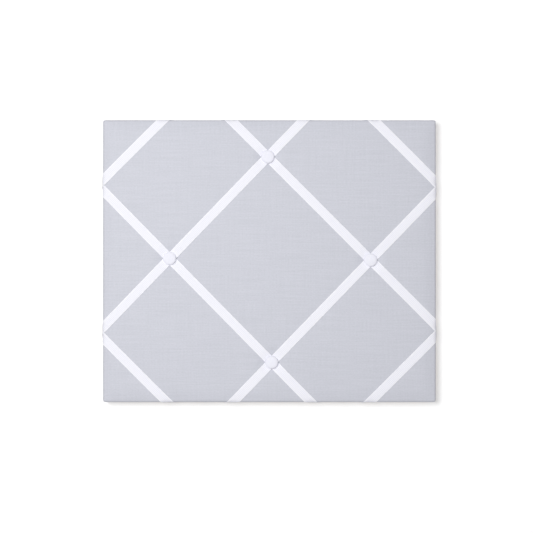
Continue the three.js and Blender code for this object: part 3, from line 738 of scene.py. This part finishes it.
@dataclass
class RibbonLattice:
    """Eight ribbons: long ones run through pairs of buttons, short ones cut off the corners.

    At a crossing the upper set takes a step up, with a ramp beyond a margin on each side. A short ribbon
    meets the board's side at a distance, edge_meet, from the place where a long one does.
    """

    form: BoardForm
    buttons: dict[str, Array]
    width: float = 11 * MM
    thickness: float = 0.42 * MM
    clearance: float = 0.1 * MM
    step: float = 0.52 * MM
    tail: float = 7 * MM
    edge_meet: float = 12 * MM
    corner_angle: float = math.pi / 4
    ramp: float = 6 * MM
    margin: float = 1 * MM
    shear_run: float = 22 * MM
    station: float = 1.0 * MM
    section_steps: int = 20
    section_power: float = 0.3
    courses: list[Course] = field(init=False)

    def __post_init__(self) -> None:
        """Lays the courses."""
        left, top, right, bottom = (self.buttons[name] for name in BUTTON_NAMES)
        rising = [
            self.across_corner((-1, 1), left, bottom),
            (left, top),
            (bottom, right),
            self.across_corner((1, -1), top, right),
        ]
        falling = [
            self.across_corner((-1, -1), left, top),
            (left, bottom),
            (top, right),
            self.across_corner((1, 1), bottom, right),
        ]
        self.courses = []
        for slope, pairs in ((Slope.RISING, rising), (Slope.FALLING, falling)):
            self.courses += [self.course(slope, number, *pair) for number, pair in enumerate(pairs, 1)]

    def across_corner(self, corner: tuple[int, int], start: Array, stop: Array) -> tuple[Array, Array]:
        """Finds a short ribbon's course: it meets a long ribbon at the board's side and cuts off the corner.

        Args:
            corner: Signs of the corner, to the right and up.
            start: Left button of the long ribbon.
            stop: Right button of the long ribbon.

        Returns:
            Two places on the course, from left to right.
        """
        side = corner[0] * self.form.half_width
        long_height = start[1] + (side - start[0]) * (stop[1] - start[1]) / (stop[0] - start[0])
        meet = long_height + corner[1] * self.edge_meet
        reach = (self.form.half_height - corner[1] * meet) / math.tan(self.corner_angle)
        at_side = np.array([side, meet])
        at_edge = np.array([side - corner[0] * reach, corner[1] * self.form.half_height])
        return (at_side, at_edge) if corner[0] < 0 else (at_edge, at_side)

    def course(self, slope: Slope, number: int, start: Array, stop: Array) -> Course:
        """Runs a course through two places, over both edges and onto the hem, where it is cut to the edge.

        Args:
            slope: The set that the ribbon belongs to.
            number: Its number in that set, from the left.
            start: A place on its middle line.
            stop: A second place, further to the right.

        Returns:
            The course.
        """
        along = (stop - start) / np.linalg.norm(stop - start)
        origin = (start + stop) / 2
        tail_run = sum(self.form.edge_runs) + self.tail
        ends, shears = [], []
        for side in (-1, 1):
            reaches = (self.form.turn - side * np.sign(along) * origin) / np.abs(along)
            axis = int(np.argmin(reaches))
            ends.append(side * (reaches[axis] + tail_run / abs(along[axis])))
            shears.append(along[1] / along[0] if axis == 0 else -along[0] / along[1])
        return Course(slope, number, origin, along, tuple(ends), tuple(shears))

    def cover(self, flat: Array, reach: float) -> Array:
        """Finds what the ribbons cover.

        Args:
            flat: Places on the flat cloth.
            reach: How far beyond a ribbon's borders the result falls to 0.

        Returns:
            1 under a ribbon, and less beside it.
        """
        shares = []
        for course in self.courses:
            along, across = course.offsets(flat)
            past_end = np.maximum(np.maximum(course.ends[0] - along, along - course.ends[1]), 0)
            beyond = np.maximum(np.abs(across) - self.width / 2, past_end)
            shares.append(1 - smooth(beyond / reach))
        return np.max(shares, axis=0)

    def rise(self, course: Course, flat: Array) -> Array:
        """Finds how far a ribbon stands off to pass over the falling set: level, with a ramp each side.

        Args:
            course: Course of the ribbon.
            flat: Places on it.

        Returns:
            The extra height at each place, which is 0 all along a falling ribbon.
        """
        if course.slope is Slope.FALLING:
            return np.zeros(flat.shape[:-1])
        shares = []
        for under in (other for other in self.courses if other.slope is Slope.FALLING):
            along, across = under.offsets(flat)
            reached = (along > under.ends[0] - self.width) & (along < under.ends[1] + self.width)
            level = self.width / 2 + self.margin
            shares.append(reached * smooth((level + self.ramp - np.abs(across)) / self.ramp))
        return self.step * np.max(shares, axis=0)

    def strip(self, course: Course, face: "PaddedFace") -> Surface:
        """Carries a flat band's section along a course and over the edges.

        The section is a superellipse, which has flat faces and round selvedges: its width goes with the
        cosine of an angle to a low power, and its height with the sine. Near each end it is sheared, so that
        the end is cut along the board's edge.

        Args:
            course: Course of the ribbon.
            face: The padded face that it lies on.

        Returns:
            The ribbon, closed at both ends.
        """
        circle = arc((0, 0), 1, 0, TURN, self.section_steps)
        section = np.sign(circle) * np.abs(circle) ** self.section_power
        wide, high = self.width / 2 * section[:, 0], self.thickness / 2 * (1 + section[:, 1])
        stations = np.linspace(*course.ends, math.ceil(course.length / self.station) + 1)[:, None]
        shear = course.shears[0] * (1 - smooth((stations - course.ends[0]) / self.shear_run))
        shear = shear + course.shears[1] * smooth((stations - course.ends[1]) / self.shear_run + 1)
        run = stations + shear * wide
        flat = course.origin + run[..., None] * course.along + wide[:, None] * course.across
        # A taut upper ribbon stays level over a crossing, as far as the crossing's own corners.
        bridged = self.width / math.sqrt(2) if course.slope is Slope.RISING else 0.0
        lift = self.clearance + self.rise(course, flat) + high
        body = self.form.place(flat, lift, face.held(flat, bridged))
        caps = np.repeat(body[[0, -1]].mean(axis=1, keepdims=True), len(wide), axis=1)
        threads = np.stack([np.broadcast_to(wide, run.shape), run], axis=-1)
        strip = Surface()
        strip.add(
            np.concatenate([caps[:1], body, caps[1:]]), np.concatenate([threads[:1], threads, threads[-1:]])
        )
        return strip

    def build(self, face: "PaddedFace", cloth: bpy.types.Object) -> list[bpy.types.Object]:
        """Makes and dresses the ribbons.

        Args:
            face: The padded face that they lie on.
            cloth: The cloth piece that they rest on; not used.

        Returns:
            The eight ribbons.
        """
        pieces = []
        for course in self.courses:
            piece = self.strip(course, face).piece(f"grosgrain_{course.name}", RIBBON)
            settle(piece, Body.BOARD, Slot.RIBBON, f"ribbon_{course.name}")
            pieces.append(piece)
        return pieces


def points_of(mesh: bpy.types.Mesh) -> Array:
    """Reads the places of a mesh's points.

    Args:
        mesh: The mesh.

    Returns:
        The places, one row each.
    """
    places = np.empty(3 * len(mesh.vertices))
    mesh.vertices.foreach_get("co", places)
    return places.reshape(-1, 3)


@dataclass
class PaddedFace:
    """Cloth cover and foam pad. The buttons tuft it, the ribbons press it in, and it swells between them.

    Each reach is the distance over which a form fades out. A spacing of lines is fine near the buttons and
    coarse elsewhere, and the edge steps divide the front round, the side, the back round and the hem.
    """

    form: BoardForm
    lattice: RibbonLattice
    buttons: dict[str, Array]
    cloth: float = 0.6 * MM
    foam_gap: float = 0.9 * MM
    hem: float = 13 * MM
    tuft_depth: float = 1.3 * MM
    tuft_radius: float = 20 * MM
    pillow: float = 1.4 * MM
    pillow_reach: float = 15 * MM
    groove: float = 0.15 * MM
    groove_reach: float = 7 * MM
    edge_reach: float = 9 * MM
    swelling: float = 0.5 * MM
    pressure: float = 4.0
    frames: int = 20
    fill: float = 0.9
    knot_spacing: float = 5 * MM
    cloth_spacing: Spacing = (1.6 * MM, 3.4 * MM)
    foam_spacing: Spacing = (3 * MM, 9 * MM)
    edge_steps: tuple[int, ...] = (6, 5, 5, 4)
    foam_steps: int = 4
    foam_crease: float = 40.0
    knots: Lines = field(init=False)
    swell: Array = field(init=False)

    def __post_init__(self) -> None:
        counts = np.ceil(2 * self.form.turn / self.knot_spacing).astype(int) + 1
        self.knots = tuple(np.linspace(-half, half, n) for half, n in zip(self.form.turn, counts))
        self.swell = self.simulate()

    def held(self, flat: Array, bridged: float = 0.0) -> Array:
        """Finds how far in the face lies where buttons and ribbons hold it.

        The padding rises from the edges like a pillow, as a parabola of the distance from each pair of sides.
        A tuft is its depth times the squared cosine of the distance from the button, and a groove lies under
        a ribbon; both end before the edge.

        Args:
            flat: Places on the flat cloth.
            bridged: Distance from a button within which a taut ribbon stays level.

        Returns:
            Depth below the flat front.
        """
        depth = self.groove * self.lattice.cover(flat, self.groove_reach)
        for place in self.buttons.values():
            away = np.maximum(np.linalg.norm(flat - place, axis=-1), bridged)
            share = np.clip(away / self.tuft_radius, 0, 1)
            depth = depth + (self.tuft_depth + self.pillow) * np.cos(share * QUARTER) ** 2
        fall = 1 - np.clip((self.form.turn - np.abs(flat)) / self.pillow_reach, 0, 1)
        return depth * self.form.inset(flat, self.edge_reach) - self.pillow * (1 - fall**2).prod(axis=-1)

    def simulate(self) -> Array:
        """Swells the face by a cloth simulation: the padding presses on cloth that ribbons and edges hold.

        Returns:
            Height of the swelling at each knot, scaled so that the highest is the padding's spring.
        """
        flat = grid(self.knots)
        sheet = Surface()
        sheet.add(self.form.place(flat, 0.0, self.held(flat)))
        piece = sheet.piece("swelling_face", CLOTH)
        to_button = np.min([np.linalg.norm(flat - place, axis=-1) for place in self.buttons.values()], axis=0)
        held = (self.lattice.cover(flat, self.lattice.margin) > 0) | (to_button < self.lattice.width)
        held[[0, -1], :] = True
        held[:, [0, -1]] = True
        group = piece.vertex_groups.new(name="held")
        group.add(np.flatnonzero(held.ravel()).tolist(), 1.0, "REPLACE")
        modifier = piece.modifiers.new("swell", "CLOTH")
        modifier.settings.vertex_group_mass = group.name
        modifier.settings.effector_weights.gravity = 0
        modifier.settings.use_pressure = True
        modifier.settings.uniform_pressure_force = self.pressure
        modifier.collision_settings.use_collision = False
        scene = bpy.context.scene
        for frame in range(1, self.frames + 1):
            scene.frame_set(frame)
        swollen = piece.evaluated_get(bpy.context.evaluated_depsgraph_get()).to_mesh()
        moved = points_of(piece.data) - points_of(swollen)
        scene.frame_set(1)
        bpy.data.objects.remove(piece)
        height = np.maximum(moved[:, 1].reshape(held.shape), 0)
        LOG.info("the padding swelled %.2f mm before scaling", height.max() / MM)
        return height * self.swelling / max(height.max(), WELD)

    def depth(self, lines: Lines) -> Array:
        """Finds how far in the finished face lies where lines meet, less its swelling.

        The swelling between knots is a sum of cubic B-splines.

        Args:
            lines: Lines across and up the front.

        Returns:
            Depth below the flat front, as rows up and columns across.
        """
        weights = []
        for points, knots in zip(lines, self.knots):
            t = np.abs(points[:, None] - knots[None, :]) / (knots[1] - knots[0])
            weight = np.where(t < 1, (4 - 6 * t**2 + 3 * t**3) / 6, np.maximum(2 - t, 0) ** 3 / 6)
            weights.append(weight / weight.sum(axis=1, keepdims=True))
        flat = grid(lines)
        free = self.form.inset(flat, self.edge_reach) * (1 - self.lattice.cover(flat, self.groove_reach / 2))
        return self.held(flat) - free * (weights[1] @ self.swell @ weights[0].T)

    def lines(self, spacing: Spacing) -> Lines:
        """Returns lines across and up the front, which crowd near the buttons."""
        axes = zip(self.form.turn, np.transpose(list(self.buttons.values())))
        return tuple(crowded_lines(half, places, spacing, self.tuft_radius) for half, places in axes)

    def cover_surface(self) -> Surface:
        """Makes the cloth: a grid over the front, and rings that run on over the edge and round to the hem.

        Returns:
            The outside of the cloth, open at the hem's inner edge.
        """
        lines = self.lines(self.cloth_spacing)
        flat = grid(lines)
        front = self.form.place(flat, 0.0, self.depth(lines))
        stops = np.cumsum([0, *self.form.edge_runs, self.hem])
        stretches = zip(stops, stops[1:], self.edge_steps)
        run = np.concatenate([[0], *(np.linspace(start, stop, n + 1)[1:] for start, stop, n in stretches)])
        out, depth = self.form.over_edge(run, 0.0)
        loop, outward = border(flat)
        rings = stand(loop * (1 + out[:, None, None] / self.form.turn), depth[:, None])
        surface = Surface()
        surface.add(self.form.round_corners(front), flat)
        surface.add(self.form.round_corners(rings), loop + run[:, None, None] * outward, flip=True)
        return surface

    def foam_surface(self, front: float, back: float) -> Surface:
        """Makes the pad: a face that follows the cloth from below, a rolled edge, a side and a flat back.

        Args:
            front: Depth of the pad's front where nothing presses it in.
            back: Depth of its back.

        Returns:
            The closed pad.
        """
        roll = self.form.front_round - self.foam_gap
        lines = self.lines(self.foam_spacing)
        flat = grid(lines)
        angle = np.linspace(0, QUARTER, self.foam_steps + 1)
        out = np.append(roll * np.sin(angle), roll)
        depth = np.append(front + roll * (1 - np.cos(angle)), back)
        face = stand(flat, front + self.depth(lines))
        rings = stand(border(flat)[0] * (1 + out[:, None, None] / self.form.turn), depth[:, None])
        rear = stand(flat * (1 + roll / self.form.turn), back)
        wide, high = self.form.half - self.foam_gap
        corner = self.form.corner_round - self.cloth
        outline = replace(self.form, half_width=wide, half_height=high, corner_round=corner)
        pad = Surface()
        for points, flip in ((face, False), (rings, True), (rear, True)):
            pad.add(outline.round_corners(points), flip=flip)
        return pad

    def build(self) -> bpy.types.Object:
        """Makes and dresses the foam and the cloth.

        Returns:
            The cloth.
        """
        low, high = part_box("foam_pad")
        foam = self.foam_surface(low.y, high.y).piece("upholstery_foam", FOAM, self.foam_crease)
        settle(foam, Body.BOARD, Slot.FOAM, "foam_pad")
        cloth = self.cover_surface().piece("slub_cloth_cover", CLOTH)
        thicken(cloth, self.cloth)
        settle(cloth, Body.BOARD, Slot.CLOTH, "fabric_cover")
        cut = 2 * (self.form.turn + sum(self.form.edge_runs) + self.hem)
        return cloth


@dataclass
class CoveredButtons:
    """Four flattened domes in white cotton, gathered under their rims.

    Pleats start at a share of the button's height. The stretch, the cut's size over the size of the dome, is
    not used.
    """

    buttons: dict[str, Array]
    rim: float = 1.0 * MM
    flatten: float = 0.62
    gather: float = 2.2 * MM
    sink: float = 0.35 * MM
    pleats: int = 20
    pleat: float = 0.07 * MM
    pleat_start: float = 0.375
    cloth: float = 0.3 * MM
    stretch: float = 0.93
    dome_steps: int = 14
    rim_steps: int = 6
    gather_steps: int = 4
    steps: int = 80

    def profile(self, radius: float, top: float, seat: float) -> Array:
        """Draws the section: a dome of a sine and cosine raised to a power, a rolled rim and the gathers.

        Args:
            radius: Outer radius of the button.
            top: Depth of the dome's top.
            seat: Depth of the plane that the button sits on.

        Returns:
            Radius and depth of each point, from the top to the end of the gathers.
        """
        edge = seat - self.rim
        angle = np.linspace(0, QUARTER, self.dome_steps + 1)
        rise = (edge - top) * np.abs(np.cos(angle)) ** self.flatten
        dome = np.stack([radius * np.sin(angle) ** self.flatten, edge - rise], axis=-1)
        roll = arc((radius - self.rim, 0), self.rim, 0, QUARTER, self.rim_steps)[1:]
        roll[:, 1] = edge + roll[:, 1] * (1 + self.sink / self.rim)
        inner = (radius - self.rim - self.gather, seat)
        return np.concatenate([dome, roll, np.linspace(roll[-1], inner, self.gather_steps + 1)[1:]])

    def build(self, lattice: RibbonLattice, ribbons: list[bpy.types.Object]) -> None:
        """Makes and dresses the buttons.

        Args:
            lattice: The courses of the ribbons.
            ribbons: The ribbons, in the same order.
        """
        for name, place in self.buttons.items():
            low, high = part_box(f"button_cap_{name}")
            profile = self.profile((high.x - low.x) / 2, low.y, high.y)
            length = np.concatenate([[0], np.cumsum(np.linalg.norm(np.diff(profile, axis=0), axis=1))])
            share = (profile[:, 1] - low.y) / (high.y - low.y)
            pleat = self.pleat * smooth((share - self.pleat_start) / (1 - self.pleat_start))
            points = turned(profile, place, self.steps, pleat, self.pleats)
            surface = Surface()
            surface.add(points, length[:, None, None] * arc((0, 0), 1, 0, TURN, self.steps), flip=True)
            piece = surface.piece(f"cotton_button_{name}", BUTTON_CLOTH)
            thicken(piece, self.cloth)
            settle(piece, Body.BOARD, Slot.BUTTON, f"button_cap_{name}")
            crossing = [ribbon for course, ribbon in zip(lattice.courses, ribbons) if course.passes(place)]


@dataclass
class BackSheet:
    """The card that covers the back. Its border is pressed down to the hem, except over ribbon tails."""

    lattice: RibbonLattice
    press: float = 1.3 * MM
    border_width: float = 9 * MM
    tail_reach: float = 5 * MM
    spacing: Spacing = (1.2 * MM, 4 * MM)
    crease: float = 50.0

    def over_tails(self, flat: Array) -> Array:
        """Finds where ribbon tails and their staples hold the sheet up.

        Args:
            flat: Places on the back, to the right and up.

        Returns:
            1 over a tail, falling to 0 beside it.
        """
        shares = []
        for course, end in product(self.lattice.courses, ("start", "end")):
            middle, half = face_of(f"staple_{course.name}_{end}")
            past = np.maximum(np.abs(flat - middle) - half - self.lattice.width / 2, 0)
            shares.append(1 - smooth(np.linalg.norm(past, axis=-1) / self.tail_reach))
        return np.max(shares, axis=0)

    def build(self) -> None:
        """Makes the sheet as two grids with a strip between them, and dresses it."""
        form = BoardForm.from_node("back_sheet")
        ends = np.array([-1.0, 1.0])
        lines = tuple(crowded_lines(half, ends * half, self.spacing, self.border_width) for half in form.half)
        flat = grid(lines)
        beside = 1 - smooth((form.half - np.abs(flat)).min(axis=-1) / self.border_width)
        drop = self.press * beside * (1 - self.over_tails(flat))
        ahead, behind = stand(flat, form.front - drop), stand(flat, form.back - drop)
        rim = np.stack([border(ahead)[0], border(behind)[0]])
        sheet = Surface()
        for points, flip in ((ahead, False), (rim, True), (behind, True)):
            sheet.add(form.round_corners(points), flip=flip)
        settle(sheet.piece("kraft_back_sheet", CARD, self.crease), Body.BOARD, Slot.CARD, "back_sheet")


@dataclass
class Hangers:
    """Two folded steel straps, each with a D-shaped wire ring that turns in its curl, and a screw.

    The curl follows its circle up to the angle named leave, and the leaves end leaf_top curl radii below the
    ring's axis. The strap's round tail starts at a small tip angle, so that its end is a short edge.
    """

    wire: float = 2.0 * MM
    bend: float = 1.6 * MM
    arm: float = 4.0 * MM
    side_gap: float = 0.5 * MM
    sheet: float = 0.8 * MM
    pierce_gap: float = 0.25 * MM
    lay_gap: float = 0.2 * MM
    leaf_gap: float = 0.04 * MM
    ease: float = 0.12 * MM
    leave: float = 0.78 * math.pi
    tip_angle: float = 0.06
    leaf_top: float = 2.0
    bar_steps: int = 7
    bend_steps: int = 8
    bow_steps: int = 40
    wire_steps: int = 20
    tail_steps: int = 13
    curl_steps: int = 28
    width_steps: int = 12
    strap_crease: float = 40.0
    screw_crease: float = 30.0

    @property
    def curl(self) -> float:
        """Outer radius of the strap's curl, which is the pivot's height above the back sheet."""
        return self.wire / 2 + self.pierce_gap + self.sheet

    def ring_surface(self, pivot: Vector, half_strap: float) -> Surface:
        """Carries a circle along a D: a straight bar, a bend, a half-circle bow and a second bend.

        The ring then leans about its bar, until the bow lies on the back sheet.

        Args:
            pivot: The ring's axis.
            half_strap: Half the width of the strap.

        Returns:
            The ring.
        """
        bar = half_strap + self.side_gap
        half = bar + self.bend
        path = np.concatenate([
            np.linspace((-bar, 0), (bar, 0), self.bar_steps + 1)[:-1],
            arc((bar, self.bend), self.bend, -QUARTER, 0, self.bend_steps),
            arc((0, self.arm), half, 0, math.pi, self.bow_steps),
            arc((-bar, self.bend), self.bend, math.pi, 3 * QUARTER, self.bend_steps),
        ])
        ahead = np.roll(path, -1, axis=0) - np.roll(path, 1, axis=0)
        tangent = ahead / np.linalg.norm(ahead, axis=1, keepdims=True)
        normal = np.stack([tangent[:, 1], -tangent[:, 0]], axis=-1)
        section = arc((0, 0), self.wire / 2, 0, TURN, self.wire_steps)
        flat = path[:, None, :] + section[None, :, :1] * normal[:, None, :]
        lean = math.asin((self.curl - self.wire / 2 - self.lay_gap) / (self.arm + half))
        depth = section[:, 1] * math.cos(lean) - flat[..., 1] * math.sin(lean)
        up = section[:, 1] * math.sin(lean) + flat[..., 1] * math.cos(lean)
        tube = np.stack([flat[..., 0], depth, up], axis=-1) + np.array(pivot)
        ring = Surface()
        ring.add(np.concatenate([tube, tube[:1]]), flip=True)
        return ring

    def strap_surface(self, low: Vector, high: Vector, pivot: Vector) -> Surface:
        """Carries a straight line along the fold: up the back leaf, round the curl and down the front leaf.

        The line's half width falls as a circle's chord over the round tail.

        Args:
            low: Lowest corner of the CAD strap.
            high: Highest corner of the CAD strap.
            pivot: The ring's axis.

        Returns:
            Middle surface of the folded sheet.
        """
        half = (high.x - low.x) / 2
        tail = low.z - pivot.z
        angle = np.linspace(self.tip_angle, QUARTER, self.tail_steps + 1)
        leaf = np.append(tail + half * (1 - np.cos(angle)), -self.leaf_top * self.curl)
        lower = np.stack([np.full_like(leaf, self.sheet / 2), leaf], axis=-1)
        upper = lower[::-1] + (self.sheet, 0)
        curl = arc((0, self.curl), self.curl - self.sheet / 2, -QUARTER, self.leave, self.curl_steps)[:, ::-1]
        path = np.concatenate([lower, curl, upper])
        chord = np.sqrt(half**2 - np.clip(tail + half - path[:, 1], 0, half) ** 2)
        across = chord[:, None] * np.linspace(-1, 1, self.width_steps + 1)
        flat = np.stack([pivot.x + across, np.broadcast_to(pivot.z + path[:, 1:], across.shape)], axis=-1)
        strap = Surface()
        strap.add(stand(flat, pivot.y - self.curl + path[:, :1]))
        return strap

    def build(self, joints: list[dict[str, Any]], nodes: dict[str, bpy.types.Object]) -> None:
        """Makes and dresses both hangers. The screws are smooth copies of their CAD solids.

        Args:
            joints: The record's joints, whose places are the rings' axes.
            nodes: The CAD solids by name.
        """
        for side, body in (("left", Body.RING_LEFT), ("right", Body.RING_RIGHT)):
            joint = next(joint for joint in joints if joint["child"] == body.value)
            pivot = Vector(joint["pos_m"])
            low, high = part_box(f"hanger_strap_{side}")
            ring = self.ring_surface(pivot, (high.x - low.x) / 2).piece(f"wire_ring_{side}", STEEL)
            settle(ring, body, Slot.STEEL, f"hanger_ring_{side}")
            surface = self.strap_surface(low, high, pivot)
            strap = surface.piece(f"folded_strap_{side}", STEEL, self.strap_crease)
            thicken(strap, self.sheet - self.leaf_gap, offset=0)
            eased = strap.modifiers.new("eased_edges", "BEVEL")
            eased.width = self.ease
            eased.segments = 2
            settle(strap, Body.BOARD, Slot.STEEL, f"hanger_strap_{side}")
            solid = nodes[f"hanger_screw_{side}"].data.copy()
            solid.name = f"pan_screw_{side}"
            screw = piece_of(solid, STEEL.material(), self.screw_crease)
            settle(screw, Body.BOARD, Slot.STEEL, f"hanger_screw_{side}")


@dataclass
class Bumpers:
    """Soft moulded bumpers at the lower corners of the back."""

    side_height: float = 2.25 * MM
    face_radius: float = 4.5 * MM
    ease: float = 0.6 * MM
    foot_steps: int = 4
    shoulder_steps: int = 8
    steps: int = 56
    crease: float = 60.0

    def build(self) -> None:
        """Makes each bumper by turning an eased foot, a straight side, a round shoulder and a flat face."""
        for side in ("left", "right"):
            low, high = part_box(f"bumper_{side}")
            radius = (high.x - low.x) / 2
            foot = arc((radius - self.ease, low.y + self.ease), self.ease, -QUARTER, 0, self.foot_steps)
            quarter = arc((0, 0), 1, 0, QUARTER, self.shoulder_steps)
            start = np.array([self.face_radius, low.y + self.side_height])
            shoulder = start + quarter * (radius - self.face_radius, high.y - low.y - self.side_height)
            profile = np.concatenate([[[0, low.y]], foot, shoulder, [[0, high.y]]])
            surface = Surface()
            surface.add(turned(profile, face_of(f"bumper_{side}")[0], self.steps), flip=True)
            piece = surface.piece(f"soft_bumper_{side}", RUBBER, self.crease)
            settle(piece, Body.BOARD, Slot.RUBBER, f"bumper_{side}")


@dataclass
class Carcass:
    """The wooden frame, the face panel and the fasteners, which keep their CAD solids and get finishes."""

    nodes: dict[str, bpy.types.Object]
    finishes: tuple[tuple[str, Finish], ...] = (
        ("batten_top", PINE_ACROSS),
        ("batten_bottom", PINE_ACROSS),
        ("batten", PINE_UPRIGHT),
        ("face_panel", HARDBOARD),
        ("staple", STEEL),
        ("button", STEEL),
    )

    def dress(self) -> None:
        """Gives each CAD solid that still shows the finish of the first name that it starts with."""
        for name, node in self.nodes.items():
            if node.hide_render:
                continue
            finish = next(finish for start, finish in self.finishes if name.startswith(start))
            node.data.materials.clear()
            node.data.materials.append(finish.material())
            LOG.info("%s keeps its solid, in %s", name, finish.name)


@dataclass(frozen=True)
class Lamp:
    """A square soft lamp that faces the board: its place and side in metres, and its power in watts."""

    name: str
    place: tuple[float, float, float]
    size: float
    power: float

    def build(self) -> None:
        """Hangs the lamp, out of the camera's sight."""
        data = bpy.data.lights.new(self.name, "AREA")
        data.size = self.size
        data.energy = self.power
        lamp = bpy.data.objects.new(self.name, data)
        lamp.location = self.place
        lamp.rotation_euler = (-Vector(self.place)).to_track_quat("-Z", "Y").to_euler()
        lamp.visible_camera = False
        bpy.context.scene.collection.objects.link(lamp)


def showing_ray(add: Adder) -> Socket:
    """Tells rays that show a surface, straight or by way of metal or glass, from those that only carry light.

    Args:
        add: Adds a node to the tree.

    Returns:
        1 for a ray that shows the surface, and 0 for the others.
    """
    path = add("LightPath", {}).node.outputs
    sharp = add("Math", {0: path["Is Camera Ray"], 1: path["Is Glossy Ray"]}, operation="MAXIMUM")
    return add("Math", {0: sharp, 1: path["Is Transmission Ray"]}, operation="MAXIMUM")


@dataclass
class Studio:
    """Camera, lamps and white surroundings. The aim is where the camera looks, to the right and up."""

    form: BoardForm
    view_width: float = 639.65 * MM
    lens: float = 85.0
    sensor: float = 36.0
    aim: tuple[float, float] = (-3.52 * MM, -6.45 * MM)
    lamps: tuple[Lamp, ...] = (
        Lamp("key", (-0.4, -1.7, 0.2), size=0.55, power=17.6),
        Lamp("behind", (0.45, 1.2, 0.5), size=0.8, power=18.0),
    )
    ambient: float = 0.41
    wall_gap: float = 0.6 * MM
    wall_half: tuple[float, float] = (0.44, 0.42)
    wall_glow: float = 0.27
    wall_bright: str = "#f4f4f4"
    wall_dull: str = "#a0a0a0"

    def build(self) -> None:
        """Sets up everything round the object."""
        self.camera()
        for lamp in self.lamps:
            lamp.build()
        self.world()
        self.wall()
        bpy.context.scene.view_settings.view_transform = "Standard"

    def camera(self) -> None:
        """Stands the camera square to the board, where the view is as wide as the photograph's."""
        data = bpy.data.cameras.new("camera")
        data.lens = self.lens
        data.sensor_width = self.sensor
        camera = bpy.data.objects.new("camera", data)
        distance = self.view_width * self.lens / self.sensor
        camera.location = (self.aim[0], self.form.front - distance, self.aim[1])
        camera.rotation_euler = (QUARTER, 0, 0)
        bpy.context.scene.collection.objects.link(camera)
        bpy.context.scene.camera = camera

    def world(self) -> None:
        """Lights softly from all round, and shows white to the camera, in metal and through glass."""
        world = bpy.data.worlds.new("studio")
        bpy.context.scene.world = world
        add = fresh_tree(world)
        strength = add("MapRange", {"Value": showing_ray(add), "To Min": self.ambient, "To Max": 1.0})
        light = add("Background", {"Color": WHITE, "Strength": strength})
        add("OutputWorld", {"Surface": light})

    def paper(self) -> bpy.types.Material:
        """Makes white paper that takes a shadow, looks brighter to the camera and can't be seen from behind.

        Returns:
            The wall's material.
        """
        material = bpy.data.materials.new("white_studio_paper")
        add = fresh_tree(material)
        shows = showing_ray(add)
        dull = add("BsdfDiffuse", {"Color": linear(self.wall_dull)})
        bright = add("BsdfDiffuse", {"Color": linear(self.wall_bright)})
        paper = add("MixShader", {0: shows, 1: dull, 2: bright})
        glow = add("Math", {0: shows, 1: self.wall_glow}, operation="MULTIPLY")
        lit = add("AddShader", {0: paper, 1: add("Emission", {"Color": WHITE, "Strength": glow})})
        shadow = add("LightPath", {}, "Is Shadow Ray")
        behind = add("NewGeometry", {}, "Backfacing")
        clear = add("Math", {0: shadow, 1: behind}, operation="MAXIMUM")
        surface = add("MixShader", {0: clear, 1: lit, 2: add("BsdfTransparent", {})})
        add("OutputMaterial", {"Surface": surface})
        return material

    def wall(self) -> None:
        """Hangs the white paper just behind the plane that the bumpers touch."""
        flat = grid(tuple(np.array([-half, half]) for half in self.wall_half))
        paper = Surface()
        paper.add(stand(flat, self.wall_gap))
        piece_of(paper.mesh("wall"), self.paper())


def main() -> None:
    """Builds the board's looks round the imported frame."""
    logging.basicConfig(level=logging.INFO, format="%(message)s")
    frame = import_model()
    form = BoardForm.from_node("fabric_cover")
    buttons = {name: face_of(f"button_cap_{name}")[0] for name in BUTTON_NAMES}
    Studio(form).build()
    lattice = RibbonLattice(form, buttons)
    face = PaddedFace(form, lattice, buttons)
    cloth = face.build()
    ribbons = lattice.build(face, cloth)
    CoveredButtons(buttons).build(lattice, ribbons)
    BackSheet(lattice).build()
    Hangers().build(frame["joints"], frame["nodes"])
    Bumpers().build()
    Carcass(frame["nodes"]).dress()


if __name__ == "__main__":
    main()
